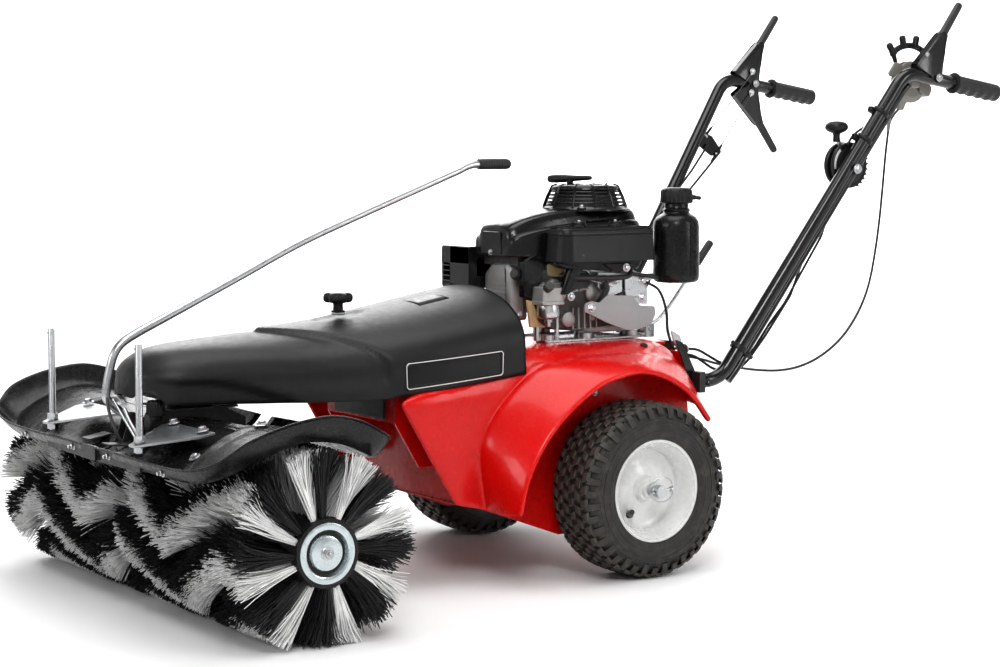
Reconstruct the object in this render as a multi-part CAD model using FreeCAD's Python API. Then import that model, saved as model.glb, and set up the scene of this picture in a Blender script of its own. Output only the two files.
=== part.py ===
import FreeCAD, Part
import math
import os

# Walk behind sweeper, in millimetres.
# +X is the machine's left side, -Y its front (the brush), +Z up.
# Places are worked out from the wheel axle's centre plane (y = 0 there) and the floor (z = 0).
# Every solid is then moved by ORIGIN_Y, so that the origin is the middle of the footprint.

V = FreeCAD.Vector
X_AXIS = V(1, 0, 0)
Y_AXIS = V(0, 1, 0)
Z_AXIS = V(0, 0, 1)

ORIGIN_Y = 31.5            # from the wheel axle to the middle of the footprint, along +Y
RUN = 0.05                 # radial running clearance of a shaft in its bore
SHEET = 3.0                # wall of pressed and moulded shells

# Wheels and axle
WHEEL_R = 165.0
WHEEL_X = 280.0            # centre plane of each wheel
TYRE_HALF = 62.0
BEAD_R = 88.0
AXLE_R = 12.0
AXLE_HALF = 352.0

# Brush
BRUSH_Y = -790.0
BRUSH_Z = 155.0
BRISTLE_R = 155.0
CORE_R = 58.0
BRUSH_HALF = 494.0
BRUSH_GAP = 26.0           # half the space between the two brush halves
BRUSH_SHAFT_R = 12.0

# Splash guard over the brush
GUARD_R = 185.0
GUARD_RIM_R = 218.0
GUARD_HALF = 500.0

# Swivel joint between the arm and the brush head
ARM_LOW = 352.0
ARM_HIGH = 380.0
SWIVEL_R = 30.0
INPUT_R = 8.0

# Belt drive
BELT_Z = 400.0
ENGINE_PULLEY_R = 45.0
BRUSH_PULLEY_R = 60.0
CRANK_Y = 75.0
CRANK_R = 12.0

# Body
DECK_Z = 427.0
DECK_HALF = 150.0
SIDE_X = 200.0
FENDER_X = 300.0
ARCH_R = 194.0

# Handlebar
TUBE_R = 14.0
TUBE_WALL = 2.5
HANDLE_X = 285.0
GRIP_R = 18.0
HANDLE_TOP = V(HANDLE_X, 662, 952)
HANDLE_END = V(HANDLE_X, 919, 912)
LEVER_Y = 735.0

# Bowden cables
CABLE_R = 2.5


def save(name, shape):
    shape = shape.removeSplitter()
    shape.translate(V(0, ORIGIN_Y, 0))
    shape.exportStep("parts/" + name + ".step")
    print(name, "volume", round(shape.Volume / 1000.0, 1), "cm3", "valid", shape.isValid())


def box(x0, x1, y0, y1, z0, z1):
    return Part.makeBox(x1 - x0, y1 - y0, z1 - z0, V(x0, y0, z0))


def cyl_x(x0, x1, y, z, r):
    return Part.makeCylinder(r, x1 - x0, V(x0, y, z), X_AXIS)


def cyl_y(x, y0, y1, z, r):
    return Part.makeCylinder(r, y1 - y0, V(x, y0, z), Y_AXIS)


def cyl_z(x, y, z0, z1, r):
    return Part.makeCylinder(r, z1 - z0, V(x, y, z0), Z_AXIS)


def prism_x(points, x0, x1):
    """A closed (y, z) outline pushed along X."""
    corners = [V(x0, y, z) for y, z in points]
    face = Part.Face(Part.makePolygon(corners + corners[:1]))
    return face.extrude(V(x1 - x0, 0, 0))


def prism_z(points, z0, z1):
    """A closed (x, y) outline pushed along Z."""
    corners = [V(x, y, z0) for x, y in points]
    face = Part.Face(Part.makePolygon(corners + corners[:1]))
    return face.extrude(V(0, 0, z1 - z0))


def inset(points, depth):
    """The same outline with every side moved inwards by depth."""
    area = 0.0
    count = len(points)
    for i in range(count):
        (ay, az), (by, bz) = points[i], points[(i + 1) % count]
        area += ay * bz - by * az
    turn = 1.0 if area > 0 else -1.0
    moved = []
    for i in range(count):
        (py, pz), (cy, cz), (ny, nz) = points[i - 1], points[i], points[(i + 1) % count]
        d1 = math.hypot(cy - py, cz - pz)
        d2 = math.hypot(ny - cy, nz - cz)
        n1 = (-(cz - pz) / d1 * turn, (cy - py) / d1 * turn)
        n2 = (-(nz - cz) / d2 * turn, (ny - cy) / d2 * turn)
        reach = depth / (1.0 + n1[0] * n2[0] + n1[1] * n2[1])
        moved.append((cy + (n1[0] + n2[0]) * reach, cz + (n1[1] + n2[1]) * reach))
    return moved


def loft_x(points_a, xa, points_b, xb):
    """A ruled solid between two (y, z) outlines with the same number of corners."""
    wires = []
    for points, x in ((points_a, xa), (points_b, xb)):
        corners = [V(x, y, z) for y, z in points]
        wires.append(Part.makePolygon(corners + corners[:1]))
    return Part.makeLoft(wires, True, True)


def revolve(points, origin, axis, across):
    """A closed (radius, along) outline turned round an axis through origin."""
    corners = [origin + across * r + axis * s for r, s in points]
    face = Part.Face(Part.makePolygon(corners + corners[:1]))
    return face.revolve(origin, axis, 360)


def fuse(shapes):
    return shapes[0].multiFuse(shapes[1:]) if len(shapes) > 1 else shapes[0]


def path(points, radii):
    """Straight runs joined by tangent arcs: one radius for each inner point."""
    edges = []
    start = points[0]
    for i in range(1, len(points) - 1):
        before = (points[i] - points[i - 1]).normalize()
        after = (points[i + 1] - points[i]).normalize()
        half_turn = before.getAngle(after) / 2.0
        reach = radii[i - 1] * math.tan(half_turn)
        enter = points[i] - before * reach
        leave = points[i] + after * reach
        bisector = (after - before).normalize()
        centre = points[i] + bisector * (radii[i - 1] / math.cos(half_turn))
        middle = centre - bisector * radii[i - 1]
        edges.append(Part.LineSegment(start, enter).toShape())
        edges.append(Part.Arc(enter, middle, leave).toShape())
        start = leave
    edges.append(Part.LineSegment(start, points[-1]).toShape())
    return Part.Wire(edges)


def rod(points, radius, bends):
    """A round bar or solid tube along a path; bends is one radius or a list of them."""
    if not isinstance(bends, (list, tuple)):
        bends = [bends] * (len(points) - 2)
    spine = path(points, bends)
    circle = Part.Wire(Part.makeCircle(radius, points[0], points[1] - points[0]))
    return spine.makePipeShell([circle], True, False)


def mirrored(shape):
    return shape.mirror(V(0, 0, 0), X_AXIS)


def on_tube(x, y, z, drop):
    """A point beside the sloping handlebar tube's axis, moved by drop towards the rear underside."""
    return V(x, y + 0.83 * drop, z - 0.56 * drop)


# ---------------------------------------------------------------- wheels

def tyre(side):
    outer = [(BEAD_R, -44), (104, -57), (124, -62), (142, -60), (156, -52), (163, -38), (165, -18),
             (165, 18), (163, 38), (156, 52), (142, 60), (124, 62), (104, 57), (BEAD_R, 44)]
    inner = [(BEAD_R, 36), (104, 48), (124, 54), (140, 52), (150, 44), (154, 30), (155, 0),
             (154, -30), (150, -44), (140, -52), (124, -54), (104, -48), (BEAD_R, -36)]
    return revolve(outer + inner, V(side * WHEEL_X, 0, WHEEL_R), X_AXIS, Z_AXIS)


def rim(side):
    """A dished disc wheel: bead seats, well, dish and hub."""
    profile = [(94, 56), (97, 56), (97, 53), (88, 50), (88, 30), (84, 24), (84, -24), (88, -30),
               (88, -50), (97, -53), (97, -56), (94, -56), (85, -52), (85, -32), (81, -26),
               (81, 6), (60, 2), (24, -2), (24, -40), (AXLE_R + RUN, -40), (AXLE_R + RUN, 44),
               (24, 44), (24, 4), (60, 8), (81, 12), (81, 26), (85, 32), (85, 50)]
    if side < 0:
        profile = [(r, -s) for r, s in profile]
    return revolve(profile, V(side * WHEEL_X, 0, WHEEL_R), X_AXIS, Z_AXIS)


def drive_axle():
    shaft = cyl_x(-AXLE_HALF, AXLE_HALF, 0, WHEEL_R, AXLE_R)
    holes = [cyl_y(side * 344, -20, 20, WHEEL_R, 3) for side in (-1, 1)]
    return shaft.cut(fuse(holes))


# ---------------------------------------------------------------- body and frame

SIDE_OUTLINE = [(-478, 350), (-208, 380), (-182, 413), (120, 413), (178, 372), (188, 262),
                (150, 170), (95, 80), (-125, 75), (-284, 134), (-357, 150)]
DECK_OUTLINE = [(-175, 400), (-159, DECK_Z), (176, DECK_Z), (186, 360), (-175, 360)]
FENDER_INNER = [(-340, 150), (-430, 350), (-225, 366), (-140, 409), (120, 413), (176, 372), (190, 300),
                (-160, 110), (-292, 134)]
FENDER_OUTER = [(-282, 137), (-251, 237), (-199, 303), (-110, 366), (16, 386), (86, 358), (158, 284),
                (-180, 128), (-232, 130)]


def body_shell():
    """Red deck with both wheel arches, open underneath and under the belt cover."""
    wall = 4.0
    outer = fuse([prism_x(SIDE_OUTLINE, -SIDE_X, SIDE_X), prism_x(DECK_OUTLINE, -DECK_HALF, DECK_HALF)])
    inner = fuse([prism_x(inset(SIDE_OUTLINE, wall), -SIDE_X + wall, SIDE_X - wall),
                  prism_x(inset(DECK_OUTLINE, wall), -DECK_HALF + wall, DECK_HALF - wall)])
    floor_cut = box(-190, 190, -480, 200, 60, 158)
    arches = []
    for side in (1, -1):
        skin = loft_x(FENDER_INNER, SIDE_X, FENDER_OUTER, FENDER_X)
        core = loft_x(inset(FENDER_INNER, wall), SIDE_X - 1, inset(FENDER_OUTER, wall), FENDER_X + 1)
        fender = skin.cut(core)
        wheel_space = cyl_x(SIDE_X + 0.5, FENDER_X + 5, 0, WHEEL_R, ARCH_R)
        below = box(SIDE_X - 2, FENDER_X + 5, -350, 220, 60, 134)
        fender = fender.cut(wheel_space).cut(below)
        arches.append(fender if side > 0 else mirrored(fender))
    shell = outer.cut(inner).cut(floor_cut)
    under_cover = box(-120, 120, -482, -165, 330, 440)
    axle_slot = box(-SIDE_X - 1, SIDE_X + 1, -30, 30, 135, 195)
    crank_hole = cyl_z(0, CRANK_Y, DECK_Z - 10, DECK_Z + 5, 40)
    shell = shell.cut(under_cover).cut(axle_slot).cut(crank_hole)
    return fuse([shell] + arches)


def chassis_frame():
    """Engine plate on two longitudinal side plates, closed by a front plate for the arm."""
    plate = box(-140, 140, -150, 170, 417, 422).cut(cyl_z(0, CRANK_Y, 410, 430, 40))
    inside = prism_x(inset(SIDE_OUTLINE, 6), -130, 130).fuse(box(-130, 130, -150, 165, 400, 417))
    sides = [box(side * 123 - 3, side * 123 + 3, -440, 165, 215, 417) for side in (-1, 1)]
    legs = [box(side * 123 - 3, side * 123 + 3, -60, 60, 120, 215) for side in (-1, 1)]
    belt_way = prism_x([(-445, 340), (-200, 345), (-180, 420), (-445, 420)], -130, 130)
    side_plates = fuse(sides).common(inside).cut(belt_way).fuse(fuse(legs))
    front = box(-126, 126, -440, -434, 300, 345)
    cross = box(-120, 120, -160, -154, 300, 380)
    frame = fuse([plate, side_plates, front, cross])
    bores = cyl_x(-130, 130, 0, WHEEL_R, 30)
    return frame.cut(bores)


def axle_bearings():
    rings = []
    for side in (-1, 1):
        ring = cyl_x(side * 123 - 8, side * 123 + 8, 0, WHEEL_R, 30)
        rings.append(ring.cut(cyl_x(-140, 140, 0, WHEEL_R, AXLE_R + RUN)))
    return Part.makeCompound(rings)


def gearbox_housing():
    """Cast case round the axle, with a foot up to the engine plate."""
    case = box(-60, 60, -60, 60, 112, 220)
    case = case.makeFillet(12, case.Edges)
    foot = box(-50, 50, -60, 5, 210, 380)
    top = box(-100, 100, -60, 5, 372, 380)
    hollow = box(-50, 50, -50, 50, 122, 210)
    hollow_foot = box(-44, 44, -54, -1, 208, 374)
    legs = [box(side * 90 - 10, side * 90 + 10, -50, -5, 380, 417) for side in (-1, 1)]
    housing = fuse([case, foot, top] + legs).cut(hollow).cut(hollow_foot)
    return housing.cut(cyl_x(-70, 70, 0, WHEEL_R, AXLE_R + RUN))


def front_arm():
    """Hollow beam from the chassis to the ring that carries the brush head."""
    beam = box(-30, 30, BRUSH_Y + 20, -400, ARM_LOW, ARM_HIGH)
    bore = box(-26, 26, BRUSH_Y + 50, -390, ARM_LOW + 4, ARM_HIGH - 4)
    ring = cyl_z(0, BRUSH_Y, ARM_LOW, ARM_HIGH, 44)
    hole = cyl_z(0, BRUSH_Y, ARM_LOW - 1, ARM_HIGH + 1, SWIVEL_R)
    foot = box(-90, 90, -445, -440, 305, 345)
    web = box(-30, 30, -445, -440, 345, ARM_LOW)
    return fuse([beam.cut(bore), ring, foot, web]).cut(hole)


# ---------------------------------------------------------------- belt cover

# Stations of the cover: y, half width at the hem, hem height, ridge height.
COVER = [(-921, 30, 366, 396), (-912, 58, 362, 424), (-894, 80, 357, 441), (-860, 100, 351, 455),
         (-790, 112, 349, 467), (-700, 128, 349, 476), (-600, 148, 350, 480), (-500, 172, 352, 490),
         (-400, 190, 362, 506), (-300, 198, 373, 524), (-215, 200, 382, 538), (-178, 196, 424, 530)]


def cover_section(y, half, hem, ridge, depth):
    """A rounded arch: straight sides up to a third of the height, then a half ellipse."""
    half -= depth
    ridge -= depth
    spring = hem + 0.35 * (ridge - hem)
    points = [V(half, y, hem), V(half * 0.985, y, spring)]
    steps = 8
    for i in range(1, steps):
        turn = math.pi * i / steps
        points.append(V(0.985 * half * math.cos(turn), y, spring + (ridge - spring) * math.sin(turn)))
    points += [V(-half * 0.985, y, spring), V(-half, y, hem)]
    return Part.makePolygon(points + points[:1])


def belt_cover():
    """Long moulded cover over the belt, arched in section and open underneath and at the back."""
    outer = Part.makeLoft([cover_section(y, h, low, top, 0) for y, h, low, top in COVER], True, True)
    inner_stations = [(y, h, low - 6, top) for y, h, low, top in COVER[1:]]
    inner_stations.append((-165, 194, 416, 528))
    inner = Part.makeLoft([cover_section(y, h, low, top, 4) for y, h, low, top in inner_stations],
                          True, True)
    rear_trim = box(-210, 210, -200, -100, 300, 412)
    stud_hole = cyl_z(0, -487, 480, 500, 4.5)
    return outer.cut(inner).cut(rear_trim).cut(stud_hole)


def cover_knob():
    """Star knob on its stud."""
    stud = cyl_z(0, -487, 470, 520, 4)
    skirt = cyl_z(0, -487, 500, 518, 12)
    lobes = [cyl_z(20 * math.cos(a), -487 + 20 * math.sin(a), 518, 534, 8)
             for a in [2 * math.pi * i / 6 for i in range(6)]]
    disc = cyl_z(0, -487, 518, 534, 22)
    return fuse([stud, skirt, disc] + lobes)


# ---------------------------------------------------------------- engine

def engine_block():
    case = box(-75, 75, -5, 155, 452, 558)
    case = case.makeFillet(10, case.Edges)
    base = cyl_z(0, CRANK_Y, 444, 454, 88)
    fins = [box(-46, 46, -98, -2, z, z + 4) for z in range(484, 575, 11)]
    barrel = box(-36, 36, -100, 0, 482, 572)
    seat = box(-42, 42, -103, -94, 478, 579)
    block = fuse([case, base, barrel, seat] + fins)
    block = block.cut(cyl_z(0, CRANK_Y, 462, 548, 62)).cut(cyl_y(0, -90, 40, 525, 26))
    return block.cut(cyl_z(0, CRANK_Y, 430, 570, CRANK_R + RUN))


def engine_standoffs():
    """Four spacers between the deck plate and the engine's base flange."""
    posts = []
    for x in (-60, 60):
        for y in (CRANK_Y - 55, CRANK_Y + 55):
            posts.append(cyl_z(x, y, DECK_Z, 444, 11))
    return Part.makeCompound(posts)


def valve_cover():
    cover = box(-41, 41, -132, -103, 478, 579)
    edges = [e for e in cover.Edges if e.BoundBox.YMin < -131 or e.BoundBox.YLength > 20]
    cover = cover.makeFillet(9, edges)
    return cover.cut(box(-34, 34, -125, -102, 486, 571))


def engine_shroud():
    """Fan housing over the flywheel with its duct over the cylinder."""
    outline = [(-140, 592), (-104, 650), (-64, 664), (75, 664), (75, 582), (-134, 582)]
    duct = prism_x(outline, -56, 56)
    drum = cyl_z(0, CRANK_Y, 580, 664, 88)
    hollow = fuse([prism_x(inset(outline, SHEET), -53, 53), cyl_z(0, CRANK_Y, 570, 661, 85),
                   box(-53, 53, -128, 75, 575, 600)])
    return fuse([duct, drum]).cut(hollow).cut(cyl_z(0, CRANK_Y, 650, 670, 70))


def recoil_cover():
    """Round starter housing with a slotted crown."""
    outer = [(0, 664), (84, 664), (84, 688), (76, 696), (58, 714), (50, 718), (0, 718)]
    inner = [(0, 664), (81, 664), (81, 687), (74, 694), (56, 711), (48, 715), (0, 715)]
    shell = revolve(outer, V(0, CRANK_Y, 0), Z_AXIS, X_AXIS)
    shell = shell.cut(revolve(inner, V(0, CRANK_Y, 0), Z_AXIS, X_AXIS))
    slots = []
    for i in range(18):
        slot = box(58, 90, -2.5, 2.5, 668, 690)
        slot.rotate(V(0, 0, 0), Z_AXIS, 20 * i)
        slot.translate(V(0, CRANK_Y, 0))
        slots.append(slot)
    rope_hole = cyl_z(-16, CRANK_Y - 26, 700, 730, 5)
    return shell.cut(fuse(slots)).cut(rope_hole)


def starter_grip():
    bar = cyl_x(-48, 16, CRANK_Y - 26, 731, 7)
    neck = cyl_z(-16, CRANK_Y - 26, 720, 728, 7)
    return bar.fuse(neck)


def starter_rope():
    return cyl_z(-16, CRANK_Y - 26, 700, 720, 2)


def crankshaft():
    """Shaft with its web, and the flywheel fan above."""
    shaft = cyl_z(0, CRANK_Y, 386, 640, CRANK_R)
    web = cyl_z(0, CRANK_Y, 492, 520, 46)
    flywheel = cyl_z(0, CRANK_Y, 600, 622, 76)
    vanes = []
    for i in range(12):
        vane = box(40, 74, -1.5, 1.5, 622, 640)
        vane.rotate(V(0, 0, 0), Z_AXIS, 30 * i)
        vane.translate(V(0, CRANK_Y, 0))
        vanes.append(vane)
    return fuse([shaft, web, flywheel] + vanes)


def pulley(y, radius, bore):
    """V-belt pulley: two flanges and a waist."""
    waist = cyl_z(0, y, BELT_Z - 9, BELT_Z + 9, radius)
    flanges = [cyl_z(0, y, BELT_Z - 12, BELT_Z - 9, radius + 5), cyl_z(0, y, BELT_Z + 9, BELT_Z + 12, radius + 5)]
    return fuse([waist] + flanges).cut(cyl_z(0, y, BELT_Z - 20, BELT_Z + 20, bore))


def belt_loop(grow, low, high):
    """The space inside a belt line round both pulleys, made larger by grow."""
    r_back = ENGINE_PULLEY_R + grow
    r_front = BRUSH_PULLEY_R + grow
    span = CRANK_Y - BRUSH_Y
    lean = math.asin((r_front - r_back) / span)
    c, s = math.cos(lean), math.sin(lean)
    corners = [(r_back * c, CRANK_Y - r_back * s), (-r_back * c, CRANK_Y - r_back * s),
               (-r_front * c, BRUSH_Y - r_front * s), (r_front * c, BRUSH_Y - r_front * s)]
    return fuse([prism_z(corners, low, high), cyl_z(0, CRANK_Y, low, high, r_back),
                 cyl_z(0, BRUSH_Y, low, high, r_front)])


def brush_belt():
    return belt_loop(7, BELT_Z - 6, BELT_Z + 6).cut(belt_loop(1, BELT_Z - 7, BELT_Z + 7))


def air_cleaner():
    case = box(90, 150, -100, 123, 582, 645)
    case = case.makeFillet(8, [e for e in case.Edges if e.BoundBox.ZLength > 50 or e.BoundBox.ZMin > 640])
    case = case.cut(box(94, 146, -96, 119, 586, 641))
    knobs = []
    for y in (-15, 70):
        knobs.append(cyl_z(120, y, 645, 654, 8))
        knobs.append(box(104, 136, y - 5, y + 5, 654, 668))
    return fuse([case] + knobs)


def carburettor():
    body = box(82, 118, -80, -28, 510, 562)
    bowl = cyl_z(100, -56, 482, 510, 18)
    drain = cyl_z(100, -56, 474, 482, 5)
    neck = cyl_z(100, -56, 562, 582, 14)
    return fuse([body, bowl, drain, neck])


def muffler():
    can = box(-146, -64, -148, -84, 532, 600)
    can = can.makeFillet(14, can.Edges)
    pipe = cyl_x(-70, -46, -100, 552, 13)
    return can.fuse(pipe)


def muffler_guard():
    """Louvred sheet round the front and the outer side of the muffler."""
    front = box(-156, -60, -160, -157, 526, 606)
    side = box(-156, -153, -157, -90, 526, 606)
    slots = [box(-146, -112, -165, -150, z, z + 6) for z in range(538, 596, 14)]
    return fuse([front, side]).cut(fuse(slots))


def control_bracket():
    """Grey bracket below the air cleaner, bent outwards at its foot."""
    outline = [(-22, 512), (-22, 486), (6, 466), (120, 446), (150, 458), (150, 496), (112, 498),
               (100, 512), (100, 560), (76, 560), (76, 512)]
    return prism_x(outline, 118, 121).fuse(box(75, 118, 76, 100, 556, 560))


def fuel_tank():
    """Bottle on the engine's rear left corner."""
    x, y = 130, 203
    outline = [(0, 542), (34, 542), (39, 548), (39, 622), (36, 634), (24, 650), (21, 656), (21, 664),
               (24, 666), (24, 670), (21, 672), (21, 690), (17, 690), (17, 654), (32, 632), (35, 620),
               (35, 550), (32, 546), (0, 546)]
    return revolve(outline, V(x, y, 0), Z_AXIS, X_AXIS)


def fuel_cap():
    x, y = 130, 203
    cap = cyl_z(x, y, 691, 722, 31).cut(cyl_z(x, y, 690, 716, 22))
    ribs = []
    for i in range(16):
        a = 2 * math.pi * i / 16
        ribs.append(cyl_z(x + 31 * math.cos(a), y + 31 * math.sin(a), 693, 714, 1.6))
    return fuse([cap] + ribs)


# ---------------------------------------------------------------- handlebar and controls

def handle_bracket():
    """Cross plate on the body's rear wall that holds both tubes."""
    plate = box(-222, 222, 191, 205, 326, 366)
    uprights = [box(side * 110 - 22, side * 110 + 22, 191, 199, 366, 420) for side in (-1, 1)]
    tube = rod(HANDLE_POINTS, TUBE_R, HANDLE_BENDS)
    return fuse([plate] + uprights).cut(tube).cut(mirrored(tube))


HANDLE_POINTS = [V(206, 200, 346), V(212, 250, 350), HANDLE_TOP, HANDLE_END]
HANDLE_BENDS = [62, 55]


def handle_tube():
    tube = rod(HANDLE_POINTS, TUBE_R, HANDLE_BENDS).cut(rod(HANDLE_POINTS, TUBE_R - TUBE_WALL, HANDLE_BENDS))
    return tube.cut(cyl_x(HANDLE_X - 30, HANDLE_X + 30, LEVER_Y, lever_z(), 4))


STOP_OUTLINE = [(573, 806), (598, 830), (615, 824), (641, 793), (635, 782), (613, 780)]


def right_handle_tube():
    """The right tube has the lever cables' stop plate welded to its rear side."""
    core = rod(HANDLE_POINTS, TUBE_R - 1, HANDLE_BENDS)
    plate = prism_x(STOP_OUTLINE, 268, 271.5).cut(core)
    return mirrored(handle_tube().fuse(plate))


def lever_z():
    """Height of the grip tube's axis at the lever pivots."""
    share = (LEVER_Y - HANDLE_TOP.y) / (HANDLE_END.y - HANDLE_TOP.y)
    return HANDLE_TOP.z + share * (HANDLE_END.z - HANDLE_TOP.z)


def hand_grip():
    along = (HANDLE_END - HANDLE_TOP).normalize()
    start = HANDLE_END - along * 125
    sleeve = Part.makeCylinder(GRIP_R, 125 + 4, start, along)
    flange = Part.makeCylinder(GRIP_R + 4, 5, start, along)
    bore = Part.makeCylinder(TUBE_R, 125, start, along)
    return sleeve.fuse(flange).cut(bore)


def pivot_bolts():
    bolts = []
    for side in (-1, 1):
        x = side * HANDLE_X
        bolt = cyl_x(x - 27, x + 27, LEVER_Y, lever_z(), 4)
        heads = [cyl_x(x - 27, x - 23, LEVER_Y, lever_z(), 7), cyl_x(x + 23, x + 27, LEVER_Y, lever_z(), 7)]
        bolts.append(fuse([bolt] + heads))
    return Part.makeCompound(bolts)


# Side of a hand lever round its pivot, as (y, z): a fin that narrows towards the bar.
LEVER_OUTLINE = [(-50, 22), (16, 89), (34, 86), (20, 60), (15, 26), (13, 0), (6, -10), (-8, -10), (-14, 2)]
LEVER_BAR = [(16, 72), (32, 92), (75, 152)]
LEVER_BAR_R = 7.0


def hand_lever(up, spread):
    """Forked lever astride the tube: cheeks, a block and a round bar. up is 1 or -1."""
    z0 = lever_z()
    outline = [(LEVER_Y + y, z0 + z * up) for y, z in LEVER_OUTLINE]
    cheeks = [prism_x(outline, a, b)
              for a, b in ((HANDLE_X - spread - 3, HANDLE_X - spread), (HANDLE_X + spread, HANDLE_X + spread + 3))]
    block_low, block_high = sorted((z0 + 66 * up, z0 + 88 * up))
    block = box(HANDLE_X - spread, HANDLE_X + spread, LEVER_Y + 2, LEVER_Y + 22, block_low, block_high)
    bar = rod([V(HANDLE_X, LEVER_Y + y, z0 + z * up) for y, z in LEVER_BAR], LEVER_BAR_R, 60)
    lever = fuse(cheeks + [block, bar])
    return lever.cut(cyl_x(HANDLE_X - 40, HANDLE_X + 40, LEVER_Y, z0, 4 + RUN))


BRACE_R = 6.5
BRACE_DROP = TUBE_R + BRACE_R + 0.5


def brace_rod():
    """Round bar clamped close behind the left handlebar tube, up to its bend."""
    low = on_tube(221, 301, 424.5, BRACE_DROP)
    high = on_tube(281.5, 642, 922.8, BRACE_DROP)
    return Part.makeCylinder(BRACE_R, (high - low).Length, low, high - low)


QUADRANT = V(229, 556, 765)


def quadrant_housing():
    """Round slotted case of the throttle lever, clamped to the left tube."""
    q = QUADRANT
    case = cyl_x(q.x - 15, q.x + 15, q.y, q.z, 46)
    case = case.makeFillet(5, case.Edges[0:1] + case.Edges[2:3])
    sweep = prism_x([(q.y, q.z), (q.y - 70, q.z + 4), (q.y - 60, q.z + 70), (q.y + 26, q.z + 70)],
                    q.x - 4, q.x + 4)
    slot = fuse([sweep, cyl_x(q.x - 4, q.x + 4, q.y, q.z, 16)])
    return case.cut(slot).fuse(cyl_x(q.x - 5, q.x + 5, q.y, q.z, 4))


def quadrant_lever():
    q = QUADRANT
    hub = cyl_x(q.x - 3, q.x + 3, q.y, q.z, 13).cut(cyl_x(q.x - 9, q.x + 9, q.y, q.z, 4 + RUN))
    top = V(q.x, q.y - 25, q.z + 70)
    along = (top - q).normalize()
    blade = Part.makeCylinder(3, 50, q + along * 10, along)
    neck = Part.makeCylinder(7, 14, q + along * 52, along)
    knob = Part.makeSphere(20, V(0, 0, 0))
    squeeze = FreeCAD.Matrix()
    squeeze.scale(1.0, 1.0, 0.62)
    knob = knob.transformGeometry(squeeze)
    knob.rotate(V(0, 0, 0), X_AXIS, 20)
    knob.translate(q + along * 72)
    return fuse([hub, blade, neck, knob])


DIAL = V(240, 716, 933)
DIAL_R = 42.0
DIAL_PIN_R = 5.0
CROWN_INNER_R = 66.0
CROWN_OUTER_R = 78.0
CROWN_TIP_R = 96.0
SPOKE_ANGLES = (52, 128)
PRONG_ANGLES = (53, 78, 102, 127)


def round_dial(points):
    """The same (y, z) outline moved to the selector's pin."""
    return [(DIAL.y + y, DIAL.z + z) for y, z in points]


def dial_housing():
    """Grey gear-selector case with two ears and a cable spout, slotted for the finger crown."""
    d = DIAL
    case = cyl_x(d.x - 10, d.x + 10, d.y, d.z, DIAL_R)
    front_ear = prism_x(round_dial([(-24, 10), (-61, 10), (-66, 18), (-48, 40), (-24, 32)]), d.x + 6, d.x + 10)
    rear_ear = prism_x(round_dial([(26, 0), (52, -6), (56, -16), (46, -30), (34, -25), (18, -22)]),
                       d.x - 8, d.x + 8)
    spout = prism_x(round_dial([(-22, -22), (-32.6, -50.8), (-21.4, -59.2), (4, -38), (8, -22)]),
                    d.x - 6, d.x + 6)
    block = box(d.x + 8, HANDLE_X - 8, d.y - 26, d.y, d.z - 13, d.z + 10)
    block = block.cut(rod(HANDLE_POINTS, TUBE_R, HANDLE_BENDS))
    sweep = prism_x(round_dial([(0, -18), (75, 6), (75, 90), (-75, 90), (-75, 6)]), d.x - 4.5, d.x + 4.5)
    slot = sweep.fuse(cyl_x(d.x - 4.5, d.x + 4.5, d.y, d.z, 18))
    pin = cyl_x(d.x - 5, d.x + 5, d.y, d.z, DIAL_PIN_R)
    return fuse([case, front_ear, rear_ear, spout, block]).cut(slot).fuse(pin)


def dial_crown():
    """Finger crown that turns on the pin inside the selector case."""
    d = DIAL
    low, high = d.x - 4, d.x + 4
    ring = cyl_x(low, high, d.y, d.z, CROWN_OUTER_R).cut(cyl_x(low - 1, high + 1, d.y, d.z, CROWN_INNER_R))
    ring = ring.common(prism_x(round_dial([(0, 0), (-80, 104), (80, 104)]), low - 1, high + 1))
    spokes = []
    for degrees in SPOKE_ANGLES:
        a = math.radians(degrees)
        spokes.append(Part.makeCylinder(4, CROWN_INNER_R + 2, d, V(0, math.cos(a), math.sin(a))))
    prongs = []
    for degrees in PRONG_ANGLES:
        a = math.radians(degrees)
        way = V(0, math.cos(a), math.sin(a))
        prongs.append(Part.makeCylinder(5, CROWN_TIP_R - CROWN_INNER_R - 4, d + way * (CROWN_INNER_R + 4), way))
    crown = fuse([cyl_x(low, high, d.y, d.z, 15), ring] + spokes + prongs)
    return crown.cut(cyl_x(low - 1, high + 1, d.y, d.z, DIAL_PIN_R + RUN))


def gear_lever():
    points = [V(80, 170, 447), V(80, 206, 470), V(80, 262, 528), V(80, 331, 610)]
    bar = rod(points, 4, [30, 60])
    boss = cyl_x(72, 88, 166, 443, 9).cut(cyl_x(60, 100, 166, 443, 4 + RUN))
    along = (points[3] - points[2]).normalize()
    sleeve = Part.makeCylinder(8, 56, points[3] - along * 50, along)
    return fuse([bar.cut(cyl_x(60, 100, 166, 443, 7)), boss, sleeve])


def gear_lever_stand():
    lugs = [box(a, b, 156, 176, DECK_Z, 453) for a, b in ((64, 70), (90, 96))]
    foot = box(64, 96, 156, 176, DECK_Z, 431)
    return fuse(lugs + [foot, cyl_x(62, 98, 166, 443, 4)])


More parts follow.
